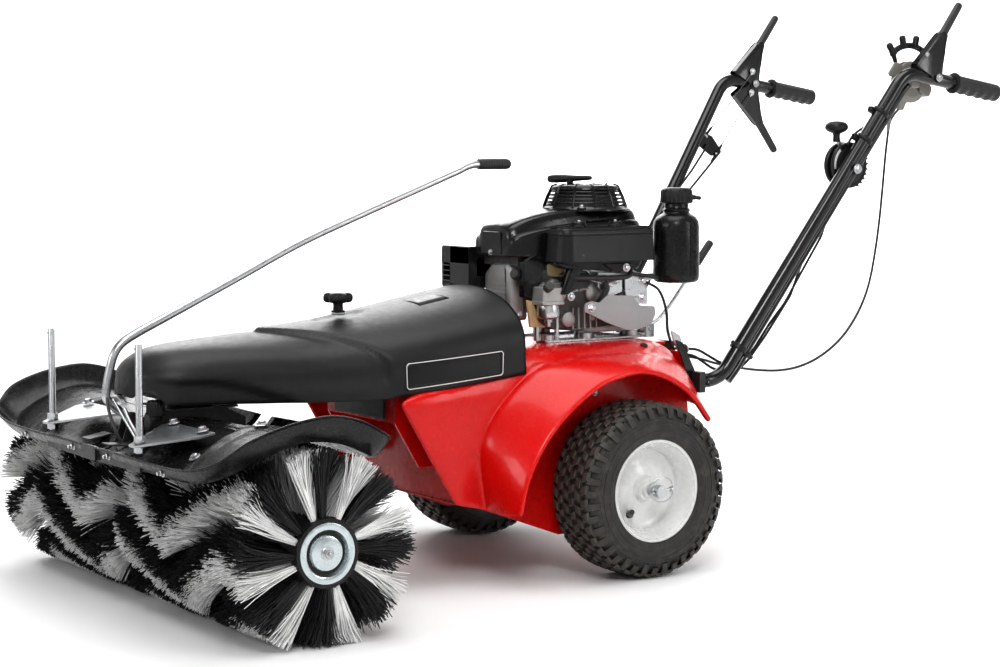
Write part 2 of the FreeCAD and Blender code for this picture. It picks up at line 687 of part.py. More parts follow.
CABLE_ROUTES = {
    "left_inner": [V(230, 527, 720), V(236, 479, 635), V(232, 445, 582), V(222, 420, 507), V(214, 392, 464),
                   V(206, 367, 425), V(198, 332, 380), V(190, 302, 352), V(176, 259, 366), V(160, 226, 392),
                   V(150, 192, 398)],
    "left_upper": [V(238, 634, 872), V(236, 606, 842), V(230, 586, 805)],
    "left_outer": [V(222, 538, 712), V(234, 488, 622), V(227, 458, 572), V(213, 412, 490), V(203, 382, 450),
                   V(193, 352, 402), V(185, 322, 372), V(174, 284, 374), V(158, 236, 404), V(140, 192, 406)],
    "right_inner": [V(-264, 600, 806), V(-264, 587, 788), V(-250, 545, 750), V(-238, 496, 708),
                    V(-222, 420, 590), V(-196, 310, 450), V(-166, 232, 402), V(-150, 192, 390)],
    "right_outer": [V(-262, 634, 790), V(-262, 612, 768), V(-236, 520, 700), V(-212, 430, 560),
                    V(-180, 320, 430), V(-150, 240, 396), V(-138, 192, 380)],
}


def control_cables():
    """Bowden cables tied along both tubes, down to the body's rear wall."""
    cables = []
    for route in CABLE_ROUTES.values():
        cables.append(rod(route, CABLE_R, 45))
    return Part.makeCompound(cables)


# The free cable hangs in a wide loop from the selector to the body's rear wall.
LOOP_ROUTE = [V(240, 687.6, 876.8), V(240, 670, 862), V(240, 662.5, 842), V(238.5, 659, 808), V(236, 657, 774),
              V(232, 655, 713), V(227, 653, 652), V(222, 648, 591), V(216, 640, 529), V(211, 628, 488),
              V(206, 607, 448), V(200, 575, 408), V(192, 528, 375), V(184, 481, 357), V(176, 435, 351),
              V(168, 387, 354), V(161, 340, 361), V(154, 290, 371), V(148, 236, 388), V(144, 192, 393)]


def loop_radii():
    """Each arc is as large as its two runs allow."""
    radii = []
    for i in range(1, len(LOOP_ROUTE) - 1):
        before = LOOP_ROUTE[i] - LOOP_ROUTE[i - 1]
        after = LOOP_ROUTE[i + 1] - LOOP_ROUTE[i]
        half_turn = before.getAngle(after) / 2.0
        radii.append(0.45 * min(before.Length, after.Length) / math.tan(half_turn))
    return radii


def hanging_cable():
    radii = loop_radii()
    cable = rod(LOOP_ROUTE, CABLE_R, radii)
    length = path(LOOP_ROUTE, radii).Length
    print("hanging cable length", round(length, 1), "volume over section",
          round(cable.Volume / (math.pi * CABLE_R ** 2), 1), "radii", [round(r) for r in radii])
    return cable


# ---------------------------------------------------------------- brush head

LEG_OUTLINE = [(-925, 290), (-915, 248), (-857, 52), (-838, 38), (-742, 38), (-723, 52), (-690, 200),
               (-690, 320), (-730, 340), (-865, 340), (-885, 300)]


def leg_housing():
    """Narrow drive case between the brush halves, with the lever lugs and the swivel plate on top."""
    wall = 2.5
    slab = prism_x(LEG_OUTLINE, -20, 20)
    cavity = prism_x(inset(LEG_OUTLINE, wall), -20 + wall, 20 - wall)
    plate = box(-60, 60, -855, -725, 344, 348)
    neck = box(-20, 20, -860, -730, 338, 345)
    lugs = [box(a, b, -912, -888, 290, 332) for a, b in ((-20, -13), (13, 20))]
    pin = cyl_x(-20, 20, -900, 320, 4)
    case = fuse([slab, plate, neck] + lugs).cut(cavity)
    case = case.cut(cyl_z(0, BRUSH_Y, 330, 350, INPUT_R + RUN))
    case = case.cut(cyl_x(-30, 30, BRUSH_Y, BRUSH_Z, BRUSH_SHAFT_R + RUN))
    return case.fuse(pin)


def swivel_collar():
    """Flanged tube that turns in the arm's ring, with its retaining ring."""
    y = BRUSH_Y
    collar = fuse([cyl_z(0, y, 348, ARM_LOW - 0.1, 40), cyl_z(0, y, 348, 384, SWIVEL_R - RUN),
                   cyl_z(0, y, ARM_HIGH + 0.1, 384, 38)])
    return collar.cut(cyl_z(0, y, 340, 390, INPUT_R + RUN))


def guard_corner(x_side):
    """Outline of a wing from above: straight front rim, wide round corner, short rear edge."""
    rim_y = BRUSH_Y - GUARD_RIM_R * math.cos(math.radians(38))
    points = [(23, rim_y), (344, rim_y), (404, rim_y + 10), (452, rim_y + 42), (486, rim_y + 86),
              (500, rim_y + 140), (500, rim_y + 200), (494, rim_y + 256), (480, rim_y + 290),
              (440, rim_y + 302), (23, rim_y + 302)]
    return [(x_side * x, y) for x, y in points]


def guard_wing(side):
    """Arched wing over one brush half, with an upturned rim round its outer edges."""
    x0, x1 = sorted((side * 23.0, side * GUARD_HALF))
    outline = guard_corner(side)
    plan = prism_z(outline, 200, 420)
    inner_plan = prism_z(inset(outline, SHEET), 190, 430)
    skin = cyl_x(x0, x1, BRUSH_Y, BRUSH_Z, GUARD_R + SHEET).cut(cyl_x(x0 - 1, x1 + 1, BRUSH_Y, BRUSH_Z, GUARD_R))
    band = cyl_x(x0, x1, BRUSH_Y, BRUSH_Z, GUARD_RIM_R).cut(cyl_x(x0 - 1, x1 + 1, BRUSH_Y, BRUSH_Z, GUARD_R))
    rim_wall = band.common(plan.cut(inner_plan))
    rim_wall = rim_wall.cut(box(*sorted((side * 20, side * 30)), -1000, -640, 200, 420))
    wing = skin.common(plan).fuse(rim_wall)
    return wing.cut(box(x0 - 1, x1 + 1, -1100, -500, 100, 266))


def rod_brackets():
    """Two zinc plates that stand on the guard and carry the upright pins."""
    plates = []
    for side in (1, -1):
        outline = [(176, -988), (198, -988), (262, -896), (262, -868), (96, -868), (92, -886)]
        plate = prism_z([(side * x, y) for x, y in outline], 0, 4)
        plate.rotate(V(0, -985, 0), X_AXIS, math.degrees(math.atan(0.18)))
        plate.translate(V(0, 0, 306))
        hole = cyl_z(side * 187, -973, 280, 330, 6)
        plates.append(plate.cut(hole))
    return Part.makeCompound(plates)


def stand_rods():
    """Upright pins with a cross hole at the top and a nut under the plate."""
    rods = []
    for side in (1, -1):
        x = side * 187
        pin = cyl_z(x, -973, 294, 478, 6)
        nut = prism_z([(x + 10 * math.cos(a), -973 + 10 * math.sin(a)) for a in
                       [math.pi / 3 * i for i in range(6)]], 296, 305)
        collar = cyl_z(x, -973, 314.2, 317, 10)
        rods.append(fuse([pin, nut, collar]).cut(cyl_y(x, -990, -950, 470, 2)))
    return Part.makeCompound(rods)


def swivel_lever():
    """Long bent bar that lifts the lock and swings the head."""
    points = [V(0, -906, 328), V(0, -953, 373), V(0, -932, 452), V(0, -566, 628), V(0, -190, 768),
              V(0, -105, 768)]
    bar = rod(points, 7.5, [26, 70, 60, 40])
    boss = cyl_x(-12, 12, -900, 320, 10)
    return fuse([bar, boss]).cut(cyl_x(-13, 13, -900, 320, 4 + RUN))


# ---------------------------------------------------------------- brush and its drive

PINION_BACK = 36.0         # distance of each pitch circle's plane from the crossing of the axes
PINION_R = 9.0
GEAR_SHORT = 28.0
GEAR_CLEAR = 0.4


def brush_shaft():
    """Through shaft with the bevel wheel and an end nut at each side."""
    shaft = cyl_x(-490, 490, BRUSH_Y, BRUSH_Z, BRUSH_SHAFT_R)
    small = PINION_R * GEAR_SHORT / PINION_BACK
    wheel = [(0, small), (GEAR_SHORT, small), (PINION_BACK, PINION_R), (PINION_BACK, 15), (0, 15)]
    gear = revolve(wheel, V(0, BRUSH_Y, BRUSH_Z), X_AXIS, Z_AXIS)
    nuts = [cyl_x(490, 498, BRUSH_Y, BRUSH_Z, 9), cyl_x(-498, -490, BRUSH_Y, BRUSH_Z, 9)]
    return fuse([shaft, gear] + nuts)


def input_shaft():
    """Upright shaft from the pulley to the bevel pinion."""
    shaft = cyl_z(0, BRUSH_Y, BRUSH_Z + PINION_BACK, 414, INPUT_R)
    small = PINION_R * GEAR_SHORT / PINION_BACK
    cone = [(0, BRUSH_Z + GEAR_SHORT), (small - GEAR_CLEAR, BRUSH_Z + GEAR_SHORT),
            (PINION_R - GEAR_CLEAR, BRUSH_Z + PINION_BACK), (0, BRUSH_Z + PINION_BACK)]
    pinion = revolve(cone, V(0, BRUSH_Y, 0), Z_AXIS, X_AXIS)
    return shaft.fuse(pinion)


def brush_core(side):
    """Drum of one brush half: tube with an end plate at each side."""
    a, b = sorted((side * BRUSH_GAP, side * 490.0))
    drum = cyl_x(a, b, BRUSH_Y, BRUSH_Z, CORE_R).cut(cyl_x(a + 4, b - 4, BRUSH_Y, BRUSH_Z, CORE_R - 4))
    return drum.cut(cyl_x(a - 1, b + 1, BRUSH_Y, BRUSH_Z, BRUSH_SHAFT_R))


def brush_cores():
    return Part.makeCompound([brush_core(1), brush_core(-1)])


def bristles(side):
    a, b = sorted((side * (BRUSH_GAP + 2), side * BRUSH_HALF))
    return cyl_x(a, b, BRUSH_Y, BRUSH_Z, BRISTLE_R).cut(cyl_x(a - 1, b + 1, BRUSH_Y, BRUSH_Z, CORE_R))


# ---------------------------------------------------------------- output

os.makedirs("parts", exist_ok=True)

save("left_tyre", tyre(1))
save("right_tyre", tyre(-1))
save("left_rim", rim(1))
save("right_rim", rim(-1))
save("drive_axle", drive_axle())
save("axle_bearings", axle_bearings())
save("gearbox_housing", gearbox_housing())
save("chassis_frame", chassis_frame())
save("body_shell", body_shell())
save("front_arm", front_arm())
save("belt_cover", belt_cover())
save("cover_knob", cover_knob())
save("engine_block", engine_block())
save("engine_standoffs", engine_standoffs())
save("valve_cover", valve_cover())
save("engine_shroud", engine_shroud())
save("recoil_cover", recoil_cover())
save("starter_grip", starter_grip())
save("starter_rope", starter_rope())
save("crankshaft", crankshaft())
save("engine_pulley", pulley(CRANK_Y, ENGINE_PULLEY_R, CRANK_R))
save("brush_pulley", pulley(BRUSH_Y, BRUSH_PULLEY_R, INPUT_R))
save("brush_belt", brush_belt())
save("air_cleaner", air_cleaner())
save("carburettor", carburettor())
save("muffler", muffler())
save("muffler_guard", muffler_guard())
save("control_bracket", control_bracket())
save("fuel_tank", fuel_tank())
save("fuel_cap", fuel_cap())
save("handle_bracket", handle_bracket())
save("left_handle_tube", handle_tube())
save("right_handle_tube", right_handle_tube())
save("left_grip", hand_grip())
save("right_grip", mirrored(hand_grip()))
save("pivot_bolts", pivot_bolts())
save("left_lever", hand_lever(1, 15.5))
save("right_upper_lever", mirrored(hand_lever(1, 15.5)))
save("right_lower_lever", mirrored(hand_lever(-1, 19.0)))
save("brace_rod", brace_rod())
save("quadrant_housing", quadrant_housing())
save("quadrant_lever", quadrant_lever())
save("dial_housing", dial_housing())
save("dial_crown", dial_crown())
save("gear_lever_stand", gear_lever_stand())
save("gear_lever", gear_lever())
save("control_cables", control_cables())
save("hanging_cable", hanging_cable())
save("leg_housing", leg_housing())
save("swivel_collar", swivel_collar())
save("left_guard", guard_wing(1))
save("right_guard", guard_wing(-1))
save("rod_brackets", rod_brackets())
save("stand_rods", stand_rods())
save("swivel_lever", swivel_lever())
save("brush_shaft", brush_shaft())
save("input_shaft", input_shaft())
save("brush_cores", brush_cores())
save("left_bristles", bristles(1))
save("right_bristles", bristles(-1))
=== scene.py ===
import math

import bmesh
import bpy
import numpy as np
from mathutils import Matrix, Vector


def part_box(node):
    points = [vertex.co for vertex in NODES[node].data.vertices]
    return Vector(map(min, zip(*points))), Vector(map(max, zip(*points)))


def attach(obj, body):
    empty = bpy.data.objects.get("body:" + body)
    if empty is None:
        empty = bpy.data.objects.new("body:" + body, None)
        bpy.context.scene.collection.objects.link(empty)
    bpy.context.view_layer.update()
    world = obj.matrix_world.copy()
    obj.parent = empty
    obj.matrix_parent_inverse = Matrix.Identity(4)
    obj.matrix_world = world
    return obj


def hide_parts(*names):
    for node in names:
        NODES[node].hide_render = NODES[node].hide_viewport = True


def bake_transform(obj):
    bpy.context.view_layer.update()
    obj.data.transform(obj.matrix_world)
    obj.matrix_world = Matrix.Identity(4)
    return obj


# Walk behind sweeper: the looks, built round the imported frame.
# Local sizes are in millimetres from the middle of the wheel axle (x, y) and the floor (z):
# +X is the machine's left, -Y its front. at() turns them into the frame's metres.

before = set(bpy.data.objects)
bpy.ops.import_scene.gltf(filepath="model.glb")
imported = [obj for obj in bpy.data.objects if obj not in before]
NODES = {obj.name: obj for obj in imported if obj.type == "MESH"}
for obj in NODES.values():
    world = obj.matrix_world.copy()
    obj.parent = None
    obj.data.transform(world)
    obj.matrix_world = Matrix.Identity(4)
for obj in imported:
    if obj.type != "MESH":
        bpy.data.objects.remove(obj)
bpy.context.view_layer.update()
MM = 0.001


def middle(node):
    low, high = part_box(node)
    return (low + high) / 2


AXLE_Y = middle("drive_axle").y


def at(x, y, z):
    return Vector((x * MM, AXLE_Y + y * MM, z * MM))


def local(point):
    """A point of the frame in local millimetres."""
    return Vector((point.x / MM, (point.y - AXLE_Y) / MM, point.z / MM))


AXLE = local(middle("drive_axle"))
BRUSH = local(middle("brush_shaft"))
WHEEL_X = local(middle("left_tyre")).x
WHEEL_R = AXLE.z
CRANK = local(middle("crankshaft"))
TANK = local(middle("fuel_tank"))
UP = Vector((0, 0, 1))
LEFT = Vector((1, 0, 0))
BACK = Vector((0, 1, 0))

# ---------------------------------------------------------------- camera, floor and light

CAMERA_AT = Vector((3.5700, -2.4747, 0.8155))
CAMERA_TURN = 56.32        # degrees from +Y towards -X
CAMERA_DOWN = 4.99
CAMERA_LENS = 79.85


def add_camera():
    camera = bpy.data.objects.new("camera", bpy.data.cameras.new("camera"))
    bpy.context.scene.collection.objects.link(camera)
    camera.data.lens = CAMERA_LENS
    camera.data.sensor_width = 36.0
    camera.location = CAMERA_AT
    camera.rotation_euler = (math.radians(90 - CAMERA_DOWN), 0, math.radians(CAMERA_TURN))
    bpy.context.scene.camera = camera


def add_area(name, place, target, size, power, tint=(1, 1, 1)):
    light = bpy.data.lights.new(name, "AREA")
    light.shape = "RECTANGLE"
    light.size, light.size_y = size
    light.energy = power
    light.color = tint
    lamp = bpy.data.objects.new(name, light)
    bpy.context.scene.collection.objects.link(lamp)
    lamp.location = place
    lamp.rotation_euler = (Vector(target) - Vector(place)).to_track_quat("-Z", "Y").to_euler()


def add_stage():
    """A pale floor that curves up into a backdrop all round, far from the object."""
    rings = [(0, 0), (6, 0), (9, 0), (10.5, 0.25), (11.6, 0.9), (12.4, 2.0), (12.8, 3.6), (13, 9)]
    count = 96
    verts, faces = [], []
    for radius, height in rings:
        for i in range(count):
            turn = 2 * math.pi * i / count
            verts.append((radius * math.cos(turn), radius * math.sin(turn), height))
    for r in range(len(rings) - 1):
        for i in range(count):
            a, b = r * count + i, r * count + (i + 1) % count
            faces.append((a, b, b + count, a + count))
    mesh = bpy.data.meshes.new("floor")
    mesh.from_pydata(verts, [], faces)
    mesh.polygons.foreach_set("use_smooth", [True] * len(faces))
    floor = bpy.data.objects.new("floor", mesh)
    bpy.context.scene.collection.objects.link(floor)
    paint = bpy.data.materials.new("floor_paint")
    paint.use_nodes = True
    shader = paint.node_tree.nodes["Principled BSDF"]
    shader.inputs["Base Color"].default_value = (0.93, 0.93, 0.93, 1)
    shader.inputs["Roughness"].default_value = 0.75
    shader.inputs["Specular IOR Level"].default_value = 0.25
    mesh.materials.append(paint)


def add_lights():
    world = bpy.data.worlds.new("studio")
    bpy.context.scene.world = world
    world.use_nodes = True
    world.node_tree.nodes["Background"].inputs["Color"].default_value = (1, 1, 1, 1)
    world.node_tree.nodes["Background"].inputs["Strength"].default_value = 0.34
    add_area("key", (3.4, -2.2, 3.4), (0, -0.2, 0.4), (1.5, 1.5), 78)
    add_area("top", (0.2, -0.3, 4.2), (0, 0, 0.3), (2.8, 3.4), 105)
    add_area("side", (3.6, 2.0, 1.7), (0, 0.1, 0.4), (0.6, 2.2), 26)
    add_area("front", (-0.2, -4.6, 2.0), (0, -0.5, 0.3), (2.2, 1.0), 34)
    add_area("far", (-3.6, 1.0, 2.8), (0, 0, 0.4), (1.8, 1.8), 26)
    add_area("backdrop", (-6.2, 4.1, 4.6), (-11.5, 7.6, 2.2), (6.0, 3.0), 800)
    add_area("floor_wash", (-4.3, 2.9, 3.3), (-4.5, 3.0, 0), (5.0, 4.5), 130)
    bpy.context.scene.view_settings.view_transform = "Standard"
    bpy.context.scene.view_settings.exposure = 0.06
    bpy.context.scene.view_settings.gamma = 0.86


# ---------------------------------------------------------------- materials

def link(tree, source, output, target, name):
    tree.links.new(source.outputs[output], target.inputs[name])


def noise(tree, coords, scale, detail=4.0, stretch=None, rough=0.55):
    """A noise texture in object space; stretch squeezes it along the axes."""
    node = tree.nodes.new("ShaderNodeTexNoise")
    node.inputs["Scale"].default_value = scale
    node.inputs["Detail"].default_value = detail
    node.inputs["Roughness"].default_value = rough
    if stretch is None:
        tree.links.new(coords, node.inputs["Vector"])
    else:
        scaler = tree.nodes.new("ShaderNodeVectorMath")
        scaler.operation = "MULTIPLY"
        scaler.inputs[1].default_value = stretch
        tree.links.new(coords, scaler.inputs[0])
        link(tree, scaler, "Vector", node, "Vector")
    return node


def remap(tree, socket, low, high, new_low, new_high):
    node = tree.nodes.new("ShaderNodeMapRange")
    for name, value in (("From Min", low), ("From Max", high), ("To Min", new_low), ("To Max", new_high)):
        node.inputs[name].default_value = value
    tree.links.new(socket, node.inputs["Value"])
    return node.outputs["Result"]


def blend_colours(tree, factor, first, second):
    node = tree.nodes.new("ShaderNodeMix")
    node.data_type = "RGBA"
    for index, colour in ((6, first), (7, second)):
        if isinstance(colour, tuple):
            node.inputs[index].default_value = (*colour, 1)
        else:
            tree.links.new(colour, node.inputs[index])
    tree.links.new(factor, node.inputs[0])
    return node.outputs[2]


def finish_material(name, colour, rough, metal=0.0, coat=0.0, sheen=0.0, spread=0.12, cloud=7.0,
                    rough_spread=0.07, grain=0.0, grain_scale=900.0, wave=0.0, wave_scale=60.0,
                    wear=0.0, wear_colour=None, dust=0.0, spangle=0.0, stretch=None, light=0.5):
    """One surface finish: clouded colour, uneven gloss, fine grain, slow waves, worn edges, dust."""
    made = bpy.data.materials.new(name)
    made.use_nodes = True
    tree = made.node_tree
    shader = tree.nodes["Principled BSDF"]
    coords = tree.nodes.new("ShaderNodeTexCoord").outputs["Object"]
    clouds = noise(tree, coords, cloud, 5.0)
    darker = tuple(c * (1 - spread) for c in colour)
    paler = tuple(min(1.0, c * (1 + spread)) for c in colour)
    mixed = blend_colours(tree, remap(tree, clouds.outputs["Fac"], 0.35, 0.65, 0, 1), darker, paler)
    specks = noise(tree, coords, cloud * 14, 6.0)
    gloss = remap(tree, specks.outputs["Fac"], 0.3, 0.7, rough - rough_spread, rough + rough_spread)
    if spangle:
        cells = tree.nodes.new("ShaderNodeTexVoronoi")
        cells.inputs["Scale"].default_value = 120.0
        tree.links.new(coords, cells.inputs["Vector"])
        share = remap(tree, cells.outputs["Distance"], 0, 0.7, 0, spangle)
        mixed = blend_colours(tree, share, mixed, tuple(c * 0.72 for c in colour))
    if dust:
        grit = noise(tree, coords, 38.0, 8.0, rough=0.7)
        share = remap(tree, grit.outputs["Fac"], 0.48, 0.72, 0, dust)
        mixed = blend_colours(tree, share, mixed, (0.30, 0.25, 0.19))
    if wear:
        edges = tree.nodes.new("ShaderNodeNewGeometry").outputs["Pointiness"]
        share = remap(tree, edges, 0.52, 0.60, 0, wear)
        pale = wear_colour or tuple(min(1.0, c * 1.6 + 0.05) for c in colour)
        mixed = blend_colours(tree, share, mixed, pale)
    tree.links.new(mixed, shader.inputs["Base Color"])
    tree.links.new(gloss, shader.inputs["Roughness"])
    shader.inputs["Metallic"].default_value = metal
    shader.inputs["Coat Weight"].default_value = coat
    shader.inputs["Coat Roughness"].default_value = 0.04
    shader.inputs["Sheen Weight"].default_value = sheen
    shader.inputs["Specular IOR Level"].default_value = light
    normal = None
    for depth, scale, detail in ((wave, wave_scale, 2.0), (grain, grain_scale, 3.0)):
        if not depth:
            continue
        bump = tree.nodes.new("ShaderNodeBump")
        bump.inputs["Strength"].default_value = depth
        bump.inputs["Distance"].default_value = 0.6 / scale
        ripple = noise(tree, coords, scale, detail, stretch)
        tree.links.new(ripple.outputs["Fac"], bump.inputs["Height"])
        if normal is not None:
            tree.links.new(normal, bump.inputs["Normal"])
        normal = bump.outputs["Normal"]
    if normal is not None:
        tree.links.new(normal, shader.inputs["Normal"])
    return made


RED = finish_material("red_paint_gloss", (0.62, 0.003, 0.002), 0.27, coat=0.22, light=0.32, spread=0.05,
                      cloud=3.0,
                      wave=0.05, wave_scale=120, rough_spread=0.04, wear=0.12)
BLACK_PAINT = finish_material("black_tube_paint", (0.006, 0.006, 0.006), 0.18, coat=0.3, spread=0.2,
                              wave=0.06, wave_scale=160, rough_spread=0.05, wear=0.08)
FRAME_PAINT = finish_material("black_frame_paint", (0.016, 0.016, 0.017), 0.38, spread=0.25, dust=0.10,
                              grain=0.15, grain_scale=700, wear=0.15)
HOOD_PLASTIC = finish_material("hood_grained_plastic", (0.012, 0.012, 0.0125), 0.38, spread=0.18,
                               grain=0.42, grain_scale=620, rough_spread=0.05, wave=0.04, wave_scale=12,
                               light=0.38)
GUARD_PLASTIC = finish_material("guard_plastic", (0.010, 0.010, 0.0105), 0.27, spread=0.2, cloud=5,
                                grain=0.10, grain_scale=900, wave=0.06, wave_scale=18, dust=0.03, light=0.38)
ENGINE_PLASTIC = finish_material("engine_gloss_plastic", (0.007, 0.007, 0.007), 0.22, coat=0.15,
                                 spread=0.2, wave=0.05, wave_scale=40, grain=0.05, grain_scale=1100,
                                 light=0.4)
SATIN_PLASTIC = finish_material("satin_moulded_plastic", (0.011, 0.011, 0.0115), 0.34, spread=0.2,
                                grain=0.18, grain_scale=1000, light=0.36)
TANK_PLASTIC = finish_material("tank_blow_moulded_plastic", (0.006, 0.006, 0.0065), 0.28, spread=0.2,
                               wave=0.05, wave_scale=30, grain=0.04, grain_scale=900, light=0.38)
ZINC = finish_material("bright_zinc", (0.56, 0.57, 0.58), 0.30, metal=1.0, spread=0.05, spangle=0.08,
                       wave=0.03, wave_scale=60, rough_spread=0.05, wear=0.15)
ZINC_DULL = finish_material("dull_zinc", (0.40, 0.41, 0.42), 0.38, metal=1.0, spread=0.06, spangle=0.1,
                            wave=0.03, wave_scale=60, rough_spread=0.05, wear=0.15)
ZINC_BLUE = finish_material("blue_passivated_zinc", (0.62, 0.68, 0.70), 0.24, metal=1.0, spread=0.08,
                            spangle=0.2, rough_spread=0.07, wave=0.06, wave_scale=40)
STEEL = finish_material("machined_steel", (0.50, 0.50, 0.51), 0.30, metal=1.0, spread=0.12,
                        grain=0.10, grain_scale=500, stretch=(0.05, 1, 1))
CAST = finish_material("cast_aluminium", (0.42, 0.42, 0.41), 0.48, metal=0.75, spread=0.18, dust=0.08,
                       grain=0.45, grain_scale=420, wear=0.25)
IRON = finish_material("cast_iron", (0.09, 0.09, 0.09), 0.55, metal=0.5, spread=0.25, dust=0.2,
                       grain=0.5, grain_scale=350)
GREY_PAINT = finish_material("grey_bracket_paint", (0.34, 0.35, 0.355), 0.38, spread=0.06, coat=0.1,
                             wave=0.08, wave_scale=60, wear=0.2)
ENAMEL = finish_material("white_enamel", (0.74, 0.74, 0.73), 0.26, coat=0.3, spread=0.04,
                         wave=0.08, wave_scale=50, wear=0.1, wear_colour=(0.9, 0.9, 0.88))
TYRE_RUBBER = finish_material("tyre_rubber", (0.022, 0.021, 0.020), 0.52, spread=0.25, dust=0.16,
                              grain=0.25, grain_scale=500, wear=0.4, wear_colour=(0.09, 0.075, 0.06))
GRIP_RUBBER = finish_material("grip_rubber", (0.020, 0.020, 0.020), 0.42, spread=0.2, sheen=0.1,
                              grain=0.3, grain_scale=900)
CABLE_SLEEVE = finish_material("cable_sleeve", (0.016, 0.016, 0.016), 0.30, spread=0.2, grain=0.08,
                               grain_scale=1500)
BELT_RUBBER = finish_material("belt_rubber", (0.03, 0.03, 0.03), 0.6, spread=0.25, dust=0.2, grain=0.5,
                              grain_scale=1200, stretch=(1, 0.2, 1))
BEIGE = finish_material("beige_insulator", (0.50, 0.38, 0.20), 0.45, spread=0.15, grain=0.2,
                        grain_scale=700)
DIAL_GREY = finish_material("grey_selector_plastic", (0.27, 0.255, 0.235), 0.42, spread=0.08,
                            grain=0.25, grain_scale=900)
PALE_PRINT = finish_material("pale_print", (0.72, 0.72, 0.70), 0.40, spread=0.06, grain=0.05)
WHITE_BRISTLE = finish_material("white_bristle", (0.90, 0.90, 0.89), 0.42, spread=0.10, cloud=40,
                                rough_spread=0.1, grain=0.3, grain_scale=700)
BLACK_BRISTLE = finish_material("black_bristle", (0.014, 0.014, 0.015), 0.34, spread=0.35, cloud=40,
                                rough_spread=0.1, grain=0.3, grain_scale=700)

# ---------------------------------------------------------------- mesh building


def across(axis):
    """Two unit vectors square to axis and to each other."""
    axis = Vector(axis).normalized()
    side = Vector((0, 0, 1)) if abs(axis.z) < 0.9 else Vector((0, 1, 0))
    first = side.cross(axis).normalized()
    return first, axis.cross(first)


def lathe(profile, centre, axis, count=48, closed=False):
    """(radius, along) points turned round an axis through centre."""
    centre, axis = Vector(centre), Vector(axis).normalized()
    u, v = across(axis)
    verts, rings = [], []
    for radius, along in profile:
        foot = centre + axis * along
        if radius < 1e-6:
            rings.append([len(verts)] * count)
            verts.append(foot)
            continue
        rings.append(list(range(len(verts), len(verts) + count)))
        for i in range(count):
            turn = 2 * math.pi * i / count
            verts.append(foot + (u * math.cos(turn) + v * math.sin(turn)) * radius)
    faces = []
    pairs = list(zip(rings, rings[1:] + rings[:1])) if closed else list(zip(rings, rings[1:]))
    for a, b in pairs:
        for i in range(count):
            j = (i + 1) % count
            corners = [a[i], a[j], b[j], b[i]]
            face = [c for n, c in enumerate(corners) if c != corners[n - 1]]
            if len(face) > 2:
                faces.append(face)
    return verts, faces


def smooth(points, steps=6):
    """Points along a Catmull-Rom curve through the given ones."""
    points = [Vector(p) for p in points]
    ends = [points[0] * 2 - points[1]] + points + [points[-1] * 2 - points[-2]]
    out = []
    for i in range(1, len(ends) - 2):
        a, b, c, d = ends[i - 1:i + 3]
        for k in range(steps):
            t = k / steps
            out.append(0.5 * (2 * b + (c - a) * t + (2 * a - 5 * b + 4 * c - d) * t ** 2
                              + (3 * b - 3 * c + d - a) * t ** 3))
    return out + [points[-1]]


def pipe(points, radius, count=12, flat=1.0, capped=True):
    """A round bar along points; radius is one number or a list, flat squashes it sideways."""
    points = [Vector(p) for p in points]
    radii = radius if isinstance(radius, (list, tuple)) else [radius] * len(points)
    way = (points[1] - points[0]).normalized()
    u, v = across(way)
    verts, faces = [], []
    for i, point in enumerate(points):
        before = points[max(i - 1, 0)]
        after = points[min(i + 1, len(points) - 1)]
        new_way = (after - before).normalized()
        turn = way.rotation_difference(new_way)
        u, v, way = turn @ u, turn @ v, new_way
        for k in range(count):
            a = 2 * math.pi * k / count
            verts.append(point + u * (math.cos(a) * radii[i]) + v * (math.sin(a) * radii[i] * flat))
    for i in range(len(points) - 1):
        for k in range(count):
            j = (k + 1) % count
            faces.append([i * count + k, i * count + j, (i + 1) * count + j, (i + 1) * count + k])
    if capped:
        faces.append(list(range(count))[::-1])
        faces.append([(len(points) - 1) * count + k for k in range(count)])
    return verts, faces


def plate(outline, axis, low, high):
    """A flat outline pushed from low to high along axis "x", "y" or "z"."""
    order = {"x": lambda a, b, n: (n, a, b), "y": lambda a, b, n: (a, n, b), "z": lambda a, b, n: (a, b, n)}
    count = len(outline)
    verts = [order[axis](a, b, n) for n in (low, high) for a, b in outline]
    faces = [list(range(count)), list(range(count, 2 * count))[::-1]]
    faces += [[i, count + i, count + (i + 1) % count, (i + 1) % count] for i in range(count)]
    return verts, faces


def block(x0, x1, y0, y1, z0, z1):
    return plate([(x0, y0), (x1, y0), (x1, y1), (x0, y1)], "z", z0, z1)


def grid(rows, closed=False):
    """Faces between equal rows of points."""
    count = len(rows[0])
    verts = [p for row in rows for p in row]
    faces = []
    for r in range(len(rows) - 1):
        for c in range(count if closed else count - 1):
            d = (c + 1) % count
            faces.append([r * count + c, r * count + d, (r + 1) * count + d, (r + 1) * count + c])
    return verts, faces


def mirror(part):
    verts, faces = part
    return [(-v[0], v[1], v[2]) for v in verts], [list(f)[::-1] for f in faces]


def turned(part, centre, axis, degrees):
    verts, faces = part
    centre = Vector(centre)
    spin = Matrix.Rotation(math.radians(degrees), 3, Vector(axis))
    return [centre + spin @ (Vector(v) - centre) for v in verts], faces


def bolt(centre, axis, flats=10.0, height=5.5, washer=9.0):
    """A hexagon head with its chamfer on a washer; flats is the distance across flats."""
    r = flats / math.sqrt(3)
    head = [(0, 0), (r, 0), (r, height - 1), (r - 1.2, height), (0, height)]
    lifted = [(a, b + 1.6) for a, b in head]
    ring = [(0, 0), (washer, 0), (washer, 1.2), (washer - 0.5, 1.6), (0, 1.6)]
    return [lathe(lifted, centre, axis, 6), lathe(ring, centre, axis, 24)]


